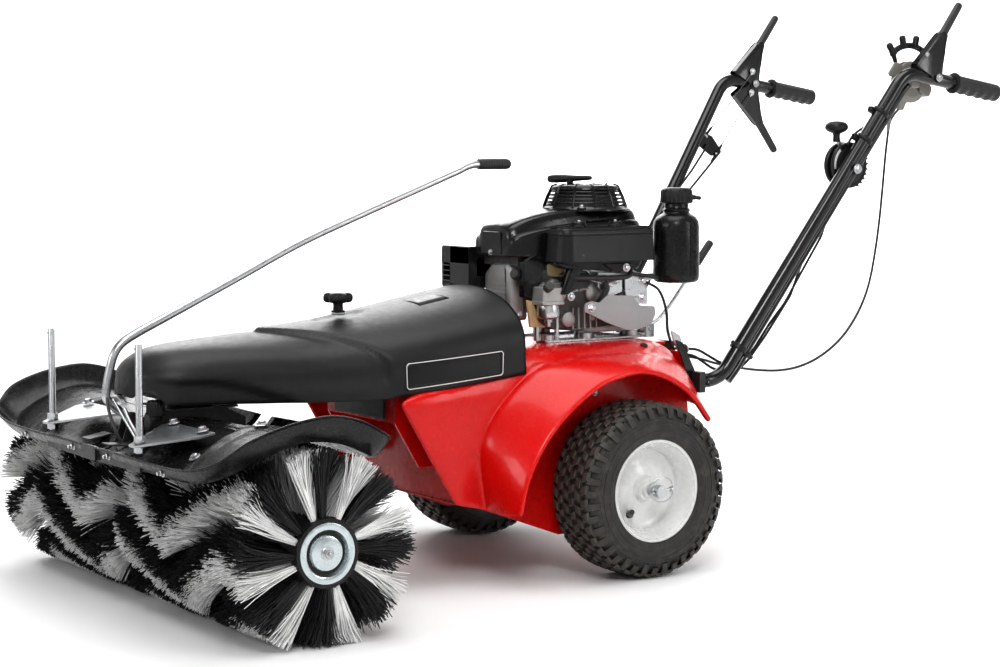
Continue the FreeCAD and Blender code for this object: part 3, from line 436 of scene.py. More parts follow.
class Shape:
    """Solid parts gathered into one piece, in local millimetres."""

    def __init__(self):
        self.verts = []
        self.faces = []
        self.paint = []
        self.slots = []

    def add(self, finish, *parts):
        if finish not in self.slots:
            self.slots.append(finish)
        for part in parts:
            if isinstance(part, list):
                self.add(finish, *part)
                continue
            verts, faces = part
            base = len(self.verts)
            self.verts += [tuple(v) for v in verts]
            self.faces += [[base + i for i in face] for face in faces]
            self.paint += [self.slots.index(finish)] * len(faces)
        return self

    def build(self, name, body, slot, stands_for=(), bevel=0.0, angle=38, subdivide=0, thick=0.0,
              weld=False, segments=2):
        mesh = bpy.data.meshes.new(name)
        mesh.from_pydata([at(*v) for v in self.verts], [], self.faces)
        for finish in self.slots:
            mesh.materials.append(finish)
        mesh.polygons.foreach_set("material_index", self.paint)
        work = bmesh.new()
        work.from_mesh(mesh)
        if weld:
            bmesh.ops.remove_doubles(work, verts=work.verts, dist=0.05 * MM)
        bmesh.ops.recalc_face_normals(work, faces=work.faces)
        work.to_mesh(mesh)
        work.free()
        mesh.polygons.foreach_set("use_smooth", [True] * len(mesh.polygons))
        if not subdivide:
            mesh.set_sharp_from_angle(angle=math.radians(angle))
        piece = bpy.data.objects.new(name, mesh)
        bpy.context.scene.collection.objects.link(piece)
        if thick:
            wall = piece.modifiers.new("wall", "SOLIDIFY")
            wall.thickness = thick * MM
            wall.offset = -1.0
        if bevel:
            edges = piece.modifiers.new("edges", "BEVEL")
            edges.width = bevel * MM
            edges.segments = segments
            edges.limit_method = "ANGLE"
            edges.angle_limit = math.radians(angle)
            edges.harden_normals = True
        if subdivide:
            finer = piece.modifiers.new("finer", "SUBSURF")
            finer.levels = finer.render_levels = subdivide
        if body:
            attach(piece, body)
        if stands_for:
            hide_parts(*stands_for)
        return piece


def dress(finish, bevel, *nodes):
    """A carried-over CAD node: a new finish, softened edges, its own mesh untouched."""
    for node in nodes:
        piece = NODES[node]
        for place in piece.material_slots:
            place.material = finish
        weld = piece.modifiers.new("weld", "WELD")
        weld.merge_threshold = 0.01 * MM
        if bevel:
            edges = piece.modifiers.new("edges", "BEVEL")
            edges.width = bevel * MM
            edges.segments = 2
            edges.limit_method = "ANGLE"
            edges.angle_limit = math.radians(40)
            edges.harden_normals = True


# ---------------------------------------------------------------- nodes that keep their CAD shape

def dress_frame():
    dress(ZINC, 0.6, "drive_axle", "engine_standoffs", "gear_lever_stand", "stand_rods")
    dress(ZINC_DULL, 0.5, "rod_brackets")
    dress(RED, 0.8, "chassis_frame")
    dress(IRON, 0.8, "axle_bearings", "gearbox_housing")
    dress(FRAME_PAINT, 0.8, "front_arm", "leg_housing", "handle_bracket")
    dress(CAST, 0.6, "engine_block")
    dress(STEEL, 0.3, "crankshaft", "engine_pulley", "brush_shaft", "input_shaft")
    dress(IRON, 0.3, "swivel_collar", "brush_pulley")
    dress(BELT_RUBBER, 0.5, "brush_belt")
    dress(BLACK_PAINT, 0.5, "left_handle_tube", "right_handle_tube")
    dress(SATIN_PLASTIC, 0.5, "brush_cores")


# ---------------------------------------------------------------- the free cable

CABLE_R = 2.5
LOOP_ROUTE = [(240, 687.6, 876.8), (240, 670, 862), (240, 662.5, 842), (238.5, 659, 808), (236, 657, 774),
              (232, 655, 713), (227, 653, 652), (222, 648, 591), (216, 640, 529), (211, 628, 488),
              (206, 607, 448), (200, 575, 408), (192, 528, 375), (184, 481, 357), (176, 435, 351),
              (168, 387, 354), (161, 340, 361), (154, 290, 371), (148, 236, 388), (144, 192, 393)]


def hanging_cable():
    """The selector's cable hangs in one wide loop to the machine's rear wall."""
    curve = bpy.data.curves.new("selector_cable", "CURVE")
    curve.dimensions = "3D"
    curve.bevel_depth = CABLE_R * MM
    curve.bevel_resolution = 4
    curve.use_fill_caps = True
    line = curve.splines.new("NURBS")
    line.points.add(len(LOOP_ROUTE) - 1)
    for point, place in zip(line.points, LOOP_ROUTE):
        point.co = (*at(*place), 1)
    line.order_u = 3
    line.use_endpoint_u = True
    line.resolution_u = 12
    curve.materials.append(CABLE_SLEEVE)
    cable = bpy.data.objects.new("selector_cable", curve)
    bpy.context.scene.collection.objects.link(cable)
    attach(cable, "chassis")
    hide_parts("hanging_cable")


# ---------------------------------------------------------------- belt cover

# Stations of the cover: y, half width at the hem, hem height, ridge height.
HOOD = [(-921, 30, 370, 396), (-912, 58, 367, 424), (-894, 80, 363, 441), (-860, 100, 359, 455),
        (-790, 112, 357, 467), (-700, 128, 354, 476), (-600, 148, 352, 480), (-500, 172, 352, 490),
        (-400, 190, 362, 506), (-300, 198, 373, 524), (-215, 200, 382, 538), (-178, 200, 387, 541)]
KNOB_Y = local(middle("cover_knob")).y
STEP_RIDGE, STEP_HEM = -659.0, -479.0      # where the front section's step crosses ridge and side
SKIRT_END = -615.0                         # where the skirt's crease runs out at the hem


def step_share(value, low, high):
    """A smooth rise from 0 at low to 1 at high."""
    t = min(1.0, max(0.0, (value - low) / (high - low)))
    return t * t * (3 - 2 * t)


def hood_station(y):
    """Half width, hem and ridge at y, on smooth curves through the stations."""
    values = []
    for column in (1, 2, 3):
        for i in range(len(HOOD) - 1):
            if y <= HOOD[i + 1][0] or i == len(HOOD) - 2:
                break
        y0, y1 = HOOD[i][0], HOOD[i + 1][0]
        v0, v1 = HOOD[i][column], HOOD[i + 1][column]
        left = HOOD[max(i - 1, 0)]
        right = HOOD[min(i + 2, len(HOOD) - 1)]
        slope0 = (v1 - left[column]) / max(y1 - left[0], 1)
        slope1 = (right[column] - v0) / max(right[0] - y0, 1)
        t = min(1.0, max(0.0, (y - y0) / (y1 - y0)))
        gap = y1 - y0
        values.append(v0 * (1 + 2 * t) * (1 - t) ** 2 + slope0 * gap * t * (1 - t) ** 2
                      + v1 * t * t * (3 - 2 * t) - slope1 * gap * t * t * (1 - t))
    return values


def hood_inset(y, share, height, hem):
    """How far the surface lies inside the plain arch: front section, skirt and knob dish."""
    lean = abs(share)
    edge = STEP_RIDGE + (STEP_HEM - STEP_RIDGE) * lean ** 1.3
    step = 8.0 * (1 - step_share(y, edge - 5, edge + 5))
    fade = step_share(y, edge - 260, edge - 90)
    step *= 0.35 + 0.65 * fade
    step *= step_share(height - hem, 8, 46) if lean > 0.5 else 1.0
    crease = hem + 39 * (1 - step_share(y, -842, SKIRT_END) ** 1.5)
    skirt = 6.0 * (1 - step_share(height, crease - 4, crease + 4)) * (1 - step_share(y, SKIRT_END - 60,
                                                                                     SKIRT_END))
    return step + skirt


def hood_point(y, angle, out=0.0):
    """A point of the cover: angle 0 is the left hem, 90 the ridge and 180 the right hem."""
    half, hem, ridge = hood_station(y)
    spring = hem + 0.35 * (ridge - hem)
    if angle < 12 or angle > 168:
        low = angle / 12 if angle < 12 else (180 - angle) / 12
        share = 1.0 if angle < 12 else -1.0
        height = hem + (spring - hem) * low
        width = half * (1 - 0.015 * low)
        way = Vector((share, 0, 0))
    else:
        turn = math.pi * (angle - 12) / 156
        share = math.cos(turn)
        height = spring + (ridge - spring) * math.sin(turn) ** 0.92
        width = 0.985 * half * abs(share)
        way = Vector((math.cos(turn), 0, math.sin(turn)))
    point = Vector((math.copysign(width, share), y, height))
    point -= way * (hood_inset(y, share, height, hem) - out)
    dish = math.hypot(point.x / 34, (y - KNOB_Y) / 58)
    if height > spring and abs(share) < 0.5:
        point.z -= 4.5 * (1 - step_share(dish, 0.82, 1.0))
    return point


def hood_notch(point, low):
    """Raises the hem in an arch where the side knob reaches through."""
    reach = math.hypot(point.y + 899, 0)
    if point.x > 0 and reach < 19:
        arch = 18 * math.sqrt(1 - (reach / 19) ** 2)
        return max(point.z, low + arch)
    return point.z


def belt_cover():
    shape = Shape()
    spots = [-921 + 3 * i for i in range(27)] + [-840 + 6.02 * i for i in range(1, 107)]
    angles = [0, 2, 4, 6, 8, 10, 12] + [12 + 156 * i / 56 for i in range(1, 56)] + [168, 170, 172, 174, 176,
                                                                                    178, 180]
    rows = []
    for y in spots:
        low = hood_station(y)[1]
        row = []
        for angle in angles:
            point = hood_point(y, angle)
            point.z = hood_notch(point, low)
            row.append(point)
        rows.append(row)
    nose = rows[0]
    rows.insert(0, [Vector((p.x * 0.55, p.y - 3, 378 + (p.z - 378) * 0.55)) for p in nose])
    shape.add(HOOD_PLASTIC, grid(rows))
    verts, faces = [rows[0][i] for i in range(len(angles))], [list(range(len(angles)))]
    shape.add(HOOD_PLASTIC, (verts, faces))
    shape.build("belt_cover_shell", "chassis", "black_plastic", ["belt_cover"], thick=3.5, weld=True,
                angle=60)


def side_angle(y, z):
    """The cover's angle at which its left side is z high."""
    _, hem, ridge = hood_station(y)
    spring = hem + 0.35 * (ridge - hem)
    if z < spring:
        return 12 * (z - hem) / (spring - hem)
    rise = min(1.0, (z - spring) / (ridge - spring)) ** (1 / 0.92)
    return 12 + 156 * math.asin(rise) / math.pi


def cover_badge():
    """A blank badge panel in a pale frame on each rear side, and a blank label on the ridge."""
    shape = Shape()
    corners = [(-451, 367), (-252, 385), (-249, 430), (-451, 415)]
    for side in (1, -1):
        def spot(a, b, out):
            low = [corners[0][k] + (corners[1][k] - corners[0][k]) * a for k in (0, 1)]
            high = [corners[3][k] + (corners[2][k] - corners[3][k]) * a for k in (0, 1)]
            y, z = (low[k] + (high[k] - low[k]) * b for k in (0, 1))
            point = hood_point(y, side_angle(y, z), out)
            return Vector((side * point.x, point.y, point.z))
        rows = [[spot(a / 20, b / 6, 0.9) for b in range(7)] for a in range(21)]
        shape.add(SATIN_PLASTIC, grid(rows))
        rounded = [(0.012, 0.10), (0.012, 0.90), (0.03, 0.98), (0.97, 0.98), (0.988, 0.90), (0.988, 0.10),
                   (0.97, 0.02), (0.03, 0.02)]
        ring = []
        for (a, b), (c, d) in zip(rounded, rounded[1:] + rounded[:1]):
            ring += [(a + (c - a) * k / 10, b + (d - b) * k / 10) for k in range(10)]
        line = [spot(a, b, 1.2) for a, b in ring]
        shape.add(PALE_PRINT, pipe(line + line[:2], 1.0, 6, capped=False))
        inner = [spot(0.5 + (a - 0.5) * 0.95, 0.5 + (b - 0.5) * 0.78, 1.1) for a, b in ring]
        shape.add(HOOD_PLASTIC, pipe(inner + inner[:2], 0.7, 6, capped=False))
    label = [[hood_point(y, angle, 0.5) for angle in (72, 77, 82, 87)] for y in range(-352, -284, 8)]
    shape.add(SATIN_PLASTIC, grid(label))
    shape.build("cover_badges", "chassis", "black_plastic", thick=0.5, angle=50)


def star_knob():
    """Six-lobed knob on its threaded stud, with the collar it clamps."""
    ridge = 500.0
    shape = Shape()
    lobed = []
    for height, scale in ((0, 0.80), (2, 0.93), (6, 1.0), (12, 1.0), (16, 0.92), (18, 0.78), (17, 0.40),
                          (16.4, 0.05)):
        ring = []
        for i in range(96):
            turn = 2 * math.pi * i / 96
            r = (23.5 + 4.0 * math.cos(6 * turn)) * scale
            ring.append(Vector((r * math.cos(turn), KNOB_Y + r * math.sin(turn), ridge + 16 + height)))
        lobed.append(ring)
    shape.add(SATIN_PLASTIC, grid(lobed, closed=True))
    foot = [(8, -2), (13, -2), (13, 1), (9.5, 3), (9, 12), (11, 17), (15, 18), (0, 18)]
    shape.add(SATIN_PLASTIC, lathe(foot, (0, KNOB_Y, ridge), UP, 32))
    shape.build("star_knob", "knob", "grip_rubber", ["cover_knob"], angle=45)
    ring = Shape()
    ring.add(ZINC, lathe([(4.5, -7), (4.5, -3), (14, -3), (14, -5), (10, -7)], (0, KNOB_Y, ridge), UP, 32,
                         closed=True))
    ring.build("star_knob_washer", "chassis", "zinc", angle=30)


# ---------------------------------------------------------------- red body

# Fender rows on the left side, front to rear: crease on the wall (y, z), lip (y, z),
# then the two points that carry the surface inwards: (x, y, z).
FENDER = [
    ((-292, 136), (-282, 137), (200, -325, 143), (200, -357, 150)),
    ((-301, 190), (-274, 188), (200, -345, 198), (200, -388, 200)),
    ((-308, 238), (-251, 237), (200, -362, 246), (200, -418, 250)),
    ((-304, 268), (-227, 272), (200, -378, 292), (200, -446, 298)),
    ((-287, 302), (-199, 303), (200, -386, 330), (200, -470, 338)),
    ((-256, 339), (-165, 332), (200, -370, 358), (200, -478, 353)),
    ((-225, 366), (-131, 354), (196, -240, 392), (150, -250, 400)),
    ((-196, 386), (-108, 367), (182, -200, 409), (140, -205, 420)),
    ((-160, 401), (-86, 376), (160, -166, 424), (110, -168, 427)),
    ((-110, 409), (-38, 387), (160, -112, 425), (110, -112, 427.5)),
    ((-50, 412), (-10, 389), (160, -50, 425), (110, -50, 427.5)),
    ((20, 412), (16, 386), (160, 20, 425), (110, 20, 427.5)),
    ((80, 410), (50, 376), (160, 90, 425), (110, 90, 427.5)),
    ((124, 402), (86, 358), (160, 140, 423), (110, 145, 427)),
    ((158, 384), (110, 340), (160, 168, 412), (110, 172, 420)),
    ((176, 358), (131, 318), (160, 181, 385), (110, 183, 390)),
    ((184, 328), (146, 298), (160, 186, 345), (110, 187, 350)),
    ((188, 304), (158, 284), (160, 189, 310), (110, 190, 312)),
]
WALL_X, LIP_X = 200.0, 300.0
FLARE = [(0.0, 0.0), (0.04, 0.02), (0.16, 0.10), (0.36, 0.34), (0.60, 0.64), (0.82, 0.88), (0.95, 0.98),
         (1.0, 1.0)]


def fender_row(crease, lip, inner, far):
    """One row of control points, from the middle of the machine out to the rolled lip."""
    row = [Vector((0, far[1], far[2]))] if far[0] < 150 else [Vector(far) + Vector((-12, 6, 0))]
    row += [Vector(far), Vector(inner)]
    start, end = Vector((WALL_X, *crease)), Vector((LIP_X, *lip))
    for out, along in FLARE:
        row.append(Vector((start.x + (end.x - start.x) * out,
                           start.y + (end.y - start.y) * along,
                           start.z + (end.z - start.z) * along)))
    bulge = Vector((0, end.y - AXLE.y, end.z - AXLE.z)).normalized()
    for i, amount in ((5, 2.0), (6, 5.0), (7, 7.0), (8, 6.0), (9, 3.0)):
        row[i] += bulge * amount
    row.append(Vector((LIP_X, *lip)) - bulge * 5 + Vector((0.5, 0, 0)))
    row.append(Vector((LIP_X - 3, *lip)) - bulge * 9)
    row.append(Vector((LIP_X - 9, *lip)) - bulge * 8)
    return row


def body_skin():
    """Deck, walls and both flared wheel arches in one smooth skin."""
    left = [fender_row(*row) for row in FENDER]
    shape = Shape()
    shape.add(RED, grid(left), mirror(grid(left)))
    skin = shape.build("body_skin", "chassis", "red_paint", ["body_shell"], weld=True, subdivide=0)
    crease = skin.modifiers.new("wall", "SOLIDIFY")
    crease.thickness = 3.0 * MM
    crease.offset = -1.0
    finer = skin.modifiers.new("finer", "SUBSURF")
    finer.levels = finer.render_levels = 3
    skin.data.polygons.foreach_set("use_smooth", [True] * len(skin.data.polygons))
    return skin


def body_panels():
    """Inner walls, recessed front panel, rear panel and their flanges."""
    shape = Shape()
    wall = [(-343, 154), (-284, 134), (-125, 75), (95, 80), (150, 170), (186, 262), (176, 372), (120, 404),
            (-180, 404), (-210, 378), (-343, 348)]
    for side in (1, -1):
        low, high = sorted((side * 192.5, side * 196.0))
        shape.add(RED, plate(wall, "x", low, high))
    shape.add(RED, block(-190, 190, -345, -341, 150, 343))
    rear = [(-192, 404), (-192, 262), (-140, 180), (140, 180), (192, 262), (192, 404)]
    shape.add(RED, plate(rear, "y", 178, 182))
    floor = [(-190, -348), (-190, -286), (190, -286), (190, -348)]
    shape.add(RED, plate(floor, "z", 150, 153))
    shape.build("body_panels", "chassis", "red_paint", bevel=1.2)
    trim = Shape()
    for side in (1, -1):
        trim.add(SATIN_PLASTIC, lathe([(0, 2.6), (4, 2.4), (7, 0.5), (7.5, -2), (0, -2)],
                                      (side * 172, 93, 421), (side * 0.35, 0, 0.94), 24))
        trim.add(ZINC, *bolt((side * 200, -46, 340), (side, 0, 0), 8, 4, 7))
        trim.add(ZINC, *bolt((side * 200, -104, 100), (side, 0, 0), 8, 4, 7))
        trim.add(ZINC, *bolt((side * 200, 120, 296), (side, 0, 0), 8, 4, 7))
    trim.build("body_fasteners", "chassis", "zinc", angle=30)


# ---------------------------------------------------------------- guard wings

WING_FLOOR = [(-968, 264), (-948, 280), (-925, 295), (-889, 313), (-844, 330), (-804, 336), (-750, 329),
              (-705, 312), (-672, 296), (-655, 286)]
# Round the left wing from its inner front corner: foot of the rim (x, y), then its top edge (x, y, z).
WING_RIM = [((23, -964), (23, -982, 288)), ((120, -965), (120, -984, 289)), ((230, -965), (230, -985, 288)),
            ((320, -964), (322, -986, 289)), ((384, -960), (394, -985, 294)), ((426, -946), (446, -976, 304)),
            ((450, -922), (476, -956, 322)), ((462, -892), (491, -928, 344)), ((468, -856), (497, -884, 361)),
            ((469, -812), (498, -832, 373)), ((468, -768), (498, -778, 377)), ((465, -726), (496, -728, 366)),
            ((458, -697), (489, -688, 347)), ((440, -676), (466, -656, 330)), ((404, -668), (414, -640, 320)),
            ((300, -668), (302, -638, 318)), ((160, -668), (160, -638, 318)), ((23, -668), (23, -640, 316))]
RECESS = 9.0


def profile_height(profile, y):
    """Height of a (y, z) profile at y, on a smooth curve."""
    for i in range(len(profile) - 1):
        if y <= profile[i + 1][0] or i == len(profile) - 2:
            break
    left, right = profile[max(i - 1, 0)], profile[min(i + 2, len(profile) - 1)]
    (y0, z0), (y1, z1) = profile[i], profile[i + 1]
    t = min(1.0, max(0.0, (y - y0) / (y1 - y0)))
    slope0 = (z1 - left[1]) / (y1 - left[0]) * (y1 - y0)
    slope1 = (right[1] - z0) / (right[0] - y0) * (y1 - y0)
    return (z0 * (1 + 2 * t) * (1 - t) ** 2 + slope0 * t * (1 - t) ** 2
            + z1 * t * t * (3 - 2 * t) - slope1 * t * t * (1 - t))


def wing_height(x, y):
    """The wing's floor: an arch over the brush, with a pan near the drive and an embossed rib beside it."""
    z = profile_height(WING_FLOOR, y)
    edge = 300 - 46 * math.sin(math.pi * min(1, max(0, (y + 955) / 290)))
    pan = 1 - step_share(x, edge - 5, edge + 5)
    rib = math.exp(-((x - edge - 26) / 7) ** 2)
    ends = step_share(y, -958, -935) * (1 - step_share(y, -712, -690))
    return z - RECESS * pan * ends + 4.5 * rib * ends


def wing_shell(side):
    foot = smooth([(x, y, 0) for (x, y), _ in WING_RIM], 8)
    top = smooth([point for _, point in WING_RIM], 8)
    rows = []
    for low, high in zip(foot, top):
        spine = Vector((min(low.x, 392), -806, 0))
        row = []
        for k in range(19):
            spot = spine.lerp(low, k / 18)
            row.append(Vector((spot.x, spot.y, wing_height(spot.x, spot.y))))
        base = row[-1]
        for k in range(1, 13):
            share = k / 12
            out, up = share ** 0.86, share ** 1.45
            row.append(Vector((base.x + (high.x - base.x) * out, base.y + (high.y - base.y) * out,
                               base.z + (high.z - base.z) * up)))
        away = (high - base)
        away.z = 0
        away.normalize()
        row.append(row[-1] + away * 1.6 + UP * 0.8)
        row.append(row[-1] + away * 2.0 - UP * 0.6)
        row.append(row[-1] + away * 0.6 - UP * 1.8)
        rows.append(row)
    shell = grid(rows)
    name = "left_guard" if side > 0 else "right_guard"
    shape = Shape()
    shape.add(GUARD_PLASTIC, shell if side > 0 else mirror(shell))
    shape.build(name + "_shell", "head", "black_plastic", [name], thick=3.2, weld=True, angle=70)


def wing_fasteners():
    """Bolts along the front flanges and on the embossed ribs, and the V struts behind them."""
    shape = Shape()
    for side in (1, -1):
        for x, z in ((76, 278), (292, 276)):
            shape.add(ZINC, *bolt((side * x, -980, z), (0, -1, -0.1), 9, 5, 7.5))
            shape.add(ZINC, lathe([(0, 10), (3.2, 10), (3.2, 0), (0, 0)], (side * x, -981, z),
                                  (0, -1, -0.1), 16))
        for x, y, lean in ((296, -925, 0.55), (283, -794, 0.05), (310, -690, -0.6)):
            z = wing_height(x, y) + 2
            shape.add(ZINC, *bolt((side * x, y, z), (0, -lean, 1), 11, 4.5, 10))
        for x, y, z in ((238, -882, 332), (118, -878, 332)):
            shape.add(ZINC, *bolt((side * x, y, z), (0, -0.18, 1), 12, 6, 11))
    shape.build("guard_bolts", "head", "zinc", angle=30)
    strap = Shape()
    strap.add(GUARD_PLASTIC, stack(rounded([(-30, 264), (30, 264), (30, 289), (-30, 289)], 3), "y",
                                   [(-986, 0.5), (-985.5, 0), (-981, 0), (-980.5, 0.5)]))
    strap.add(SATIN_PLASTIC, lathe([(0, 0), (10, 0), (11, 2), (11, 8), (15, 10), (15, 33), (13, 36),
                                    (0, 36)], (50, -880, 328), UP, 40))
    for i in range(12):
        turn = math.radians(30 * i)
        x, y = 50 + 15 * math.cos(turn), -880 + 15 * math.sin(turn)
        strap.add(SATIN_PLASTIC, pipe([(x, y, 340), (x, y, 360)], 1.6, 8))
    for side in (1, -1):
        strap.add(FRAME_PAINT, plate([(side * 26, -972), (side * 58, -972), (side * 150, -860),
                                      (side * 112, -860)],
                                     "z", 292, 295))
        strap.add(FRAME_PAINT, plate([(side * 26, 286), (side * 200, 280), (side * 200, 264),
                                      (side * 26, 262)],
                                     "y", -979, -975))
        strap.add(GUARD_PLASTIC, lathe([(0, 0), (17, 0), (18, -3), (18, -16), (12, -18), (11, -30),
                                        (8, -34), (0, -34)],
                                       (side * 440, -690, 286), UP, 24))
    strap.build("guard_straps", "head", "black_paint", bevel=0.8)


def left_wing():
    wing_shell(1)


def right_wing():
    wing_shell(-1)


# ---------------------------------------------------------------- brush

HUB_R = 58.0
TIP_R = 167.0
ROWS = 16
TUFT_STEP = 13.0


def brush_wave(x):
    """The rows' zigzag along the brush, in degrees."""
    share = (x / 430.0) % 1.0
    return 46.0 * abs(2 * share - 1)


def strands(side, white, seed):
    """Tapered three-sided strands, each bent a little, in tufts along the rows of one colour."""
    rng = np.random.default_rng(seed)
    low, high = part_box("left_bristles")
    start, end = low.x / MM, high.x / MM
    per_tuft = 38
    data = []
    for row in range(ROWS):
        if (row % 2 == 0) != white:
            continue
        x = start + 6
        while x < end - 3:
            sway = brush_wave(x if side > 0 else x + 90)
            centre = 720 / ROWS * (row // 2) + (7.5 if row % 2 else -7.5) + sway + rng.normal(0, 1.2)
            lean = rng.normal(4, 1.6)
            shift = rng.normal(0, 2.5)
            for spread, along in zip(rng.normal(0, 1, per_tuft), rng.normal(0, 1, per_tuft)):
                data.append((x + along * 1.8, centre + spread * 2.2, along * 5.0 + shift + rng.normal(0, 1.2),
                             spread * 1.7 + lean + rng.normal(0, 0.8), rng.normal(0, 1.4),
                             TIP_R - abs(rng.normal(0, 3.2)), rng.uniform(0, 6.28)))
            x += TUFT_STEP
    root_x, root_turn, drift, sweep, curl, reach, spin = np.array(data).T
    rings = []
    for share, width in ((0.0, 1.25), (0.45, 1.2), (0.78, 1.1), (1.0, 0.8)):
        turn = np.radians(root_turn + sweep * share + curl * share ** 2 * 2.2)
        radius = HUB_R - 4 + (reach - HUB_R + 4) * share
        x = np.clip(root_x + drift * share ** 1.4, start + 1, end + 5.0)
        y = BRUSH.y + radius * np.sin(turn)
        z = BRUSH.z + radius * np.cos(turn)
        under = z < 2.0
        y = np.where(under, y + (2.0 - z) * 0.5, y)
        z = np.where(under, 1.6 + (np.abs(np.sin(spin * 7)) * 2.0), z)
        for k in range(3):
            around = spin + 2.0944 * k
            tangent = width * np.cos(around)
            rings.append(np.stack([side * (x + width * np.sin(around)), y + tangent * np.cos(turn),
                                   z - tangent * np.sin(turn)], axis=1))
    verts = np.stack(rings, axis=1).reshape(-1, 3) * MM
    verts[:, 1] += AXLE_Y
    verts[:, 2] = np.maximum(verts[:, 2], 0.0006)
    pattern = []
    for level in range(3):
        for k in range(3):
            a, b = level * 3 + k, level * 3 + (k + 1) % 3
            pattern.append((a, b, b + 3, a + 3))
    quads = (np.arange(len(data))[:, None, None] * 12 + np.array(pattern)[None]).reshape(-1, 4)
    mesh = bpy.data.meshes.new("strands")
    mesh.from_pydata(verts.tolist(), [], quads.tolist())
    mesh.polygons.foreach_set("use_smooth", [True] * len(quads))
    mesh.materials.append(WHITE_BRISTLE if white else BLACK_BRISTLE)
    half = "left" if side > 0 else "right"
    piece = bpy.data.objects.new("%s_%s_strands" % (half, "white" if white else "black"), mesh)
    bpy.context.scene.collection.objects.link(piece)
    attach(piece, "brush")
    if not white:
        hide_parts(half + "_bristles")


def bristles():
    for number, (side, white) in enumerate(((1, False), (1, True), (-1, False), (-1, True))):
        strands(side, white, 100 + number)


def brush_ends():
    """Black end ring, pressed zinc disc with its groove, washer and hexagon bolt."""
    for side in (1, -1):
        half = "left" if side > 0 else "right"
        x = side * (local(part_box("left_bristles")[1]).x + 1)
        foot, way = (x, BRUSH.y, BRUSH.z), (side, 0, 0)
        ring = Shape()
        ring.add(SATIN_PLASTIC, lathe([(44, -14), (56, -14), (57.5, -12), (57.5, 1), (56.5, 3), (52, 3.4),
                                       (51, 2), (44, -2)],
                                      foot, way, 96, closed=True))
        for i in range(24):
            turn = math.radians(15 * i)
            spot = Vector(foot) + Vector((side * -6, 56.5 * math.sin(turn), 56.5 * math.cos(turn)))
            rib = block(spot.x - 6, spot.x + 6, spot.y - 1.4, spot.y + 1.4, spot.z - 2.6, spot.z + 2.6)
            ring.add(SATIN_PLASTIC, turned(rib, spot, (1, 0, 0), -15 * i))
        ring.build(half + "_brush_end_ring", "brush", "black_plastic", angle=32)
        disc = Shape()
        outer = [(51.0, -3), (51.2, 0.5), (50, 2.6), (47, 3.2), (40.5, 3.2), (38.5, 2.2), (37.2, -2.0),
                 (35.6, -5.2), (33.0, -6.4),
                 (30.6, -5.2), (29.4, -1.5), (28.0, 0.8), (25, 1.6), (9, 1.8), (9, -1.5), (25, -1.5),
                 (31, -9), (37, -9), (41, -0.5),
                 (49, -0.5)]
        disc.add(ZINC_BLUE, lathe(outer, foot, way, 96, closed=True))
        disc.add(ZINC, lathe([(0, 1.6), (11.5, 1.6), (11.5, 3.6), (10.8, 4.2), (0, 4.2)], foot, way, 48))
        disc.add(ZINC, lathe([(0, 4.2), (7.5, 4.2), (7.5, 9.6), (6.2, 10.6), (0, 10.6)], foot, way, 6))
        disc.add(STEEL, lathe([(0, 10.6), (4, 10.6), (4, 14.2), (3.2, 15), (0, 15)], foot, way, 20))
        disc.build(half + "_brush_end_disc", "brush", "zinc", angle=35)


# ---------------------------------------------------------------- wheels

CARCASS = [(89, 46), (95, 53.5), (100, 58), (109, 61.4), (121, 62.2), (134, 60.4), (144, 57), (151, 52),
           (155.5, 43),
           (157.6, 30), (158.4, 15), (158.6, 0)]
TREAD_TOP = 165.0


def tread_block(width, length, x, degrees, top, skew, side):
    """One rounded-edge tread block on the tyre's crown; x along the axle, degrees round it."""
    root = top - 9.0
    verts = []
    for level, grow in ((root, 1.12), (top - 1.3, 1.0), (top, 0.80)):
        for a, b in ((-1, -1), (1, -1), (1, 1), (-1, 1)):
            drop = 0.0011 * (x + a * width / 2) ** 2 if level > root else 0.0
            turn = math.radians(degrees) + (b * length * grow / 2 + a * skew) / TREAD_TOP
            radius = level - drop
            verts.append((side * WHEEL_X + x + a * width * grow / 2, radius * math.sin(turn),
                          WHEEL_R + radius * math.cos(turn)))
    faces = [[8, 9, 10, 11]]
    for base in (0, 4):
        faces += [[base + k, base + (k + 1) % 4, base + 4 + (k + 1) % 4, base + 4 + k] for k in range(4)]
    return verts, faces


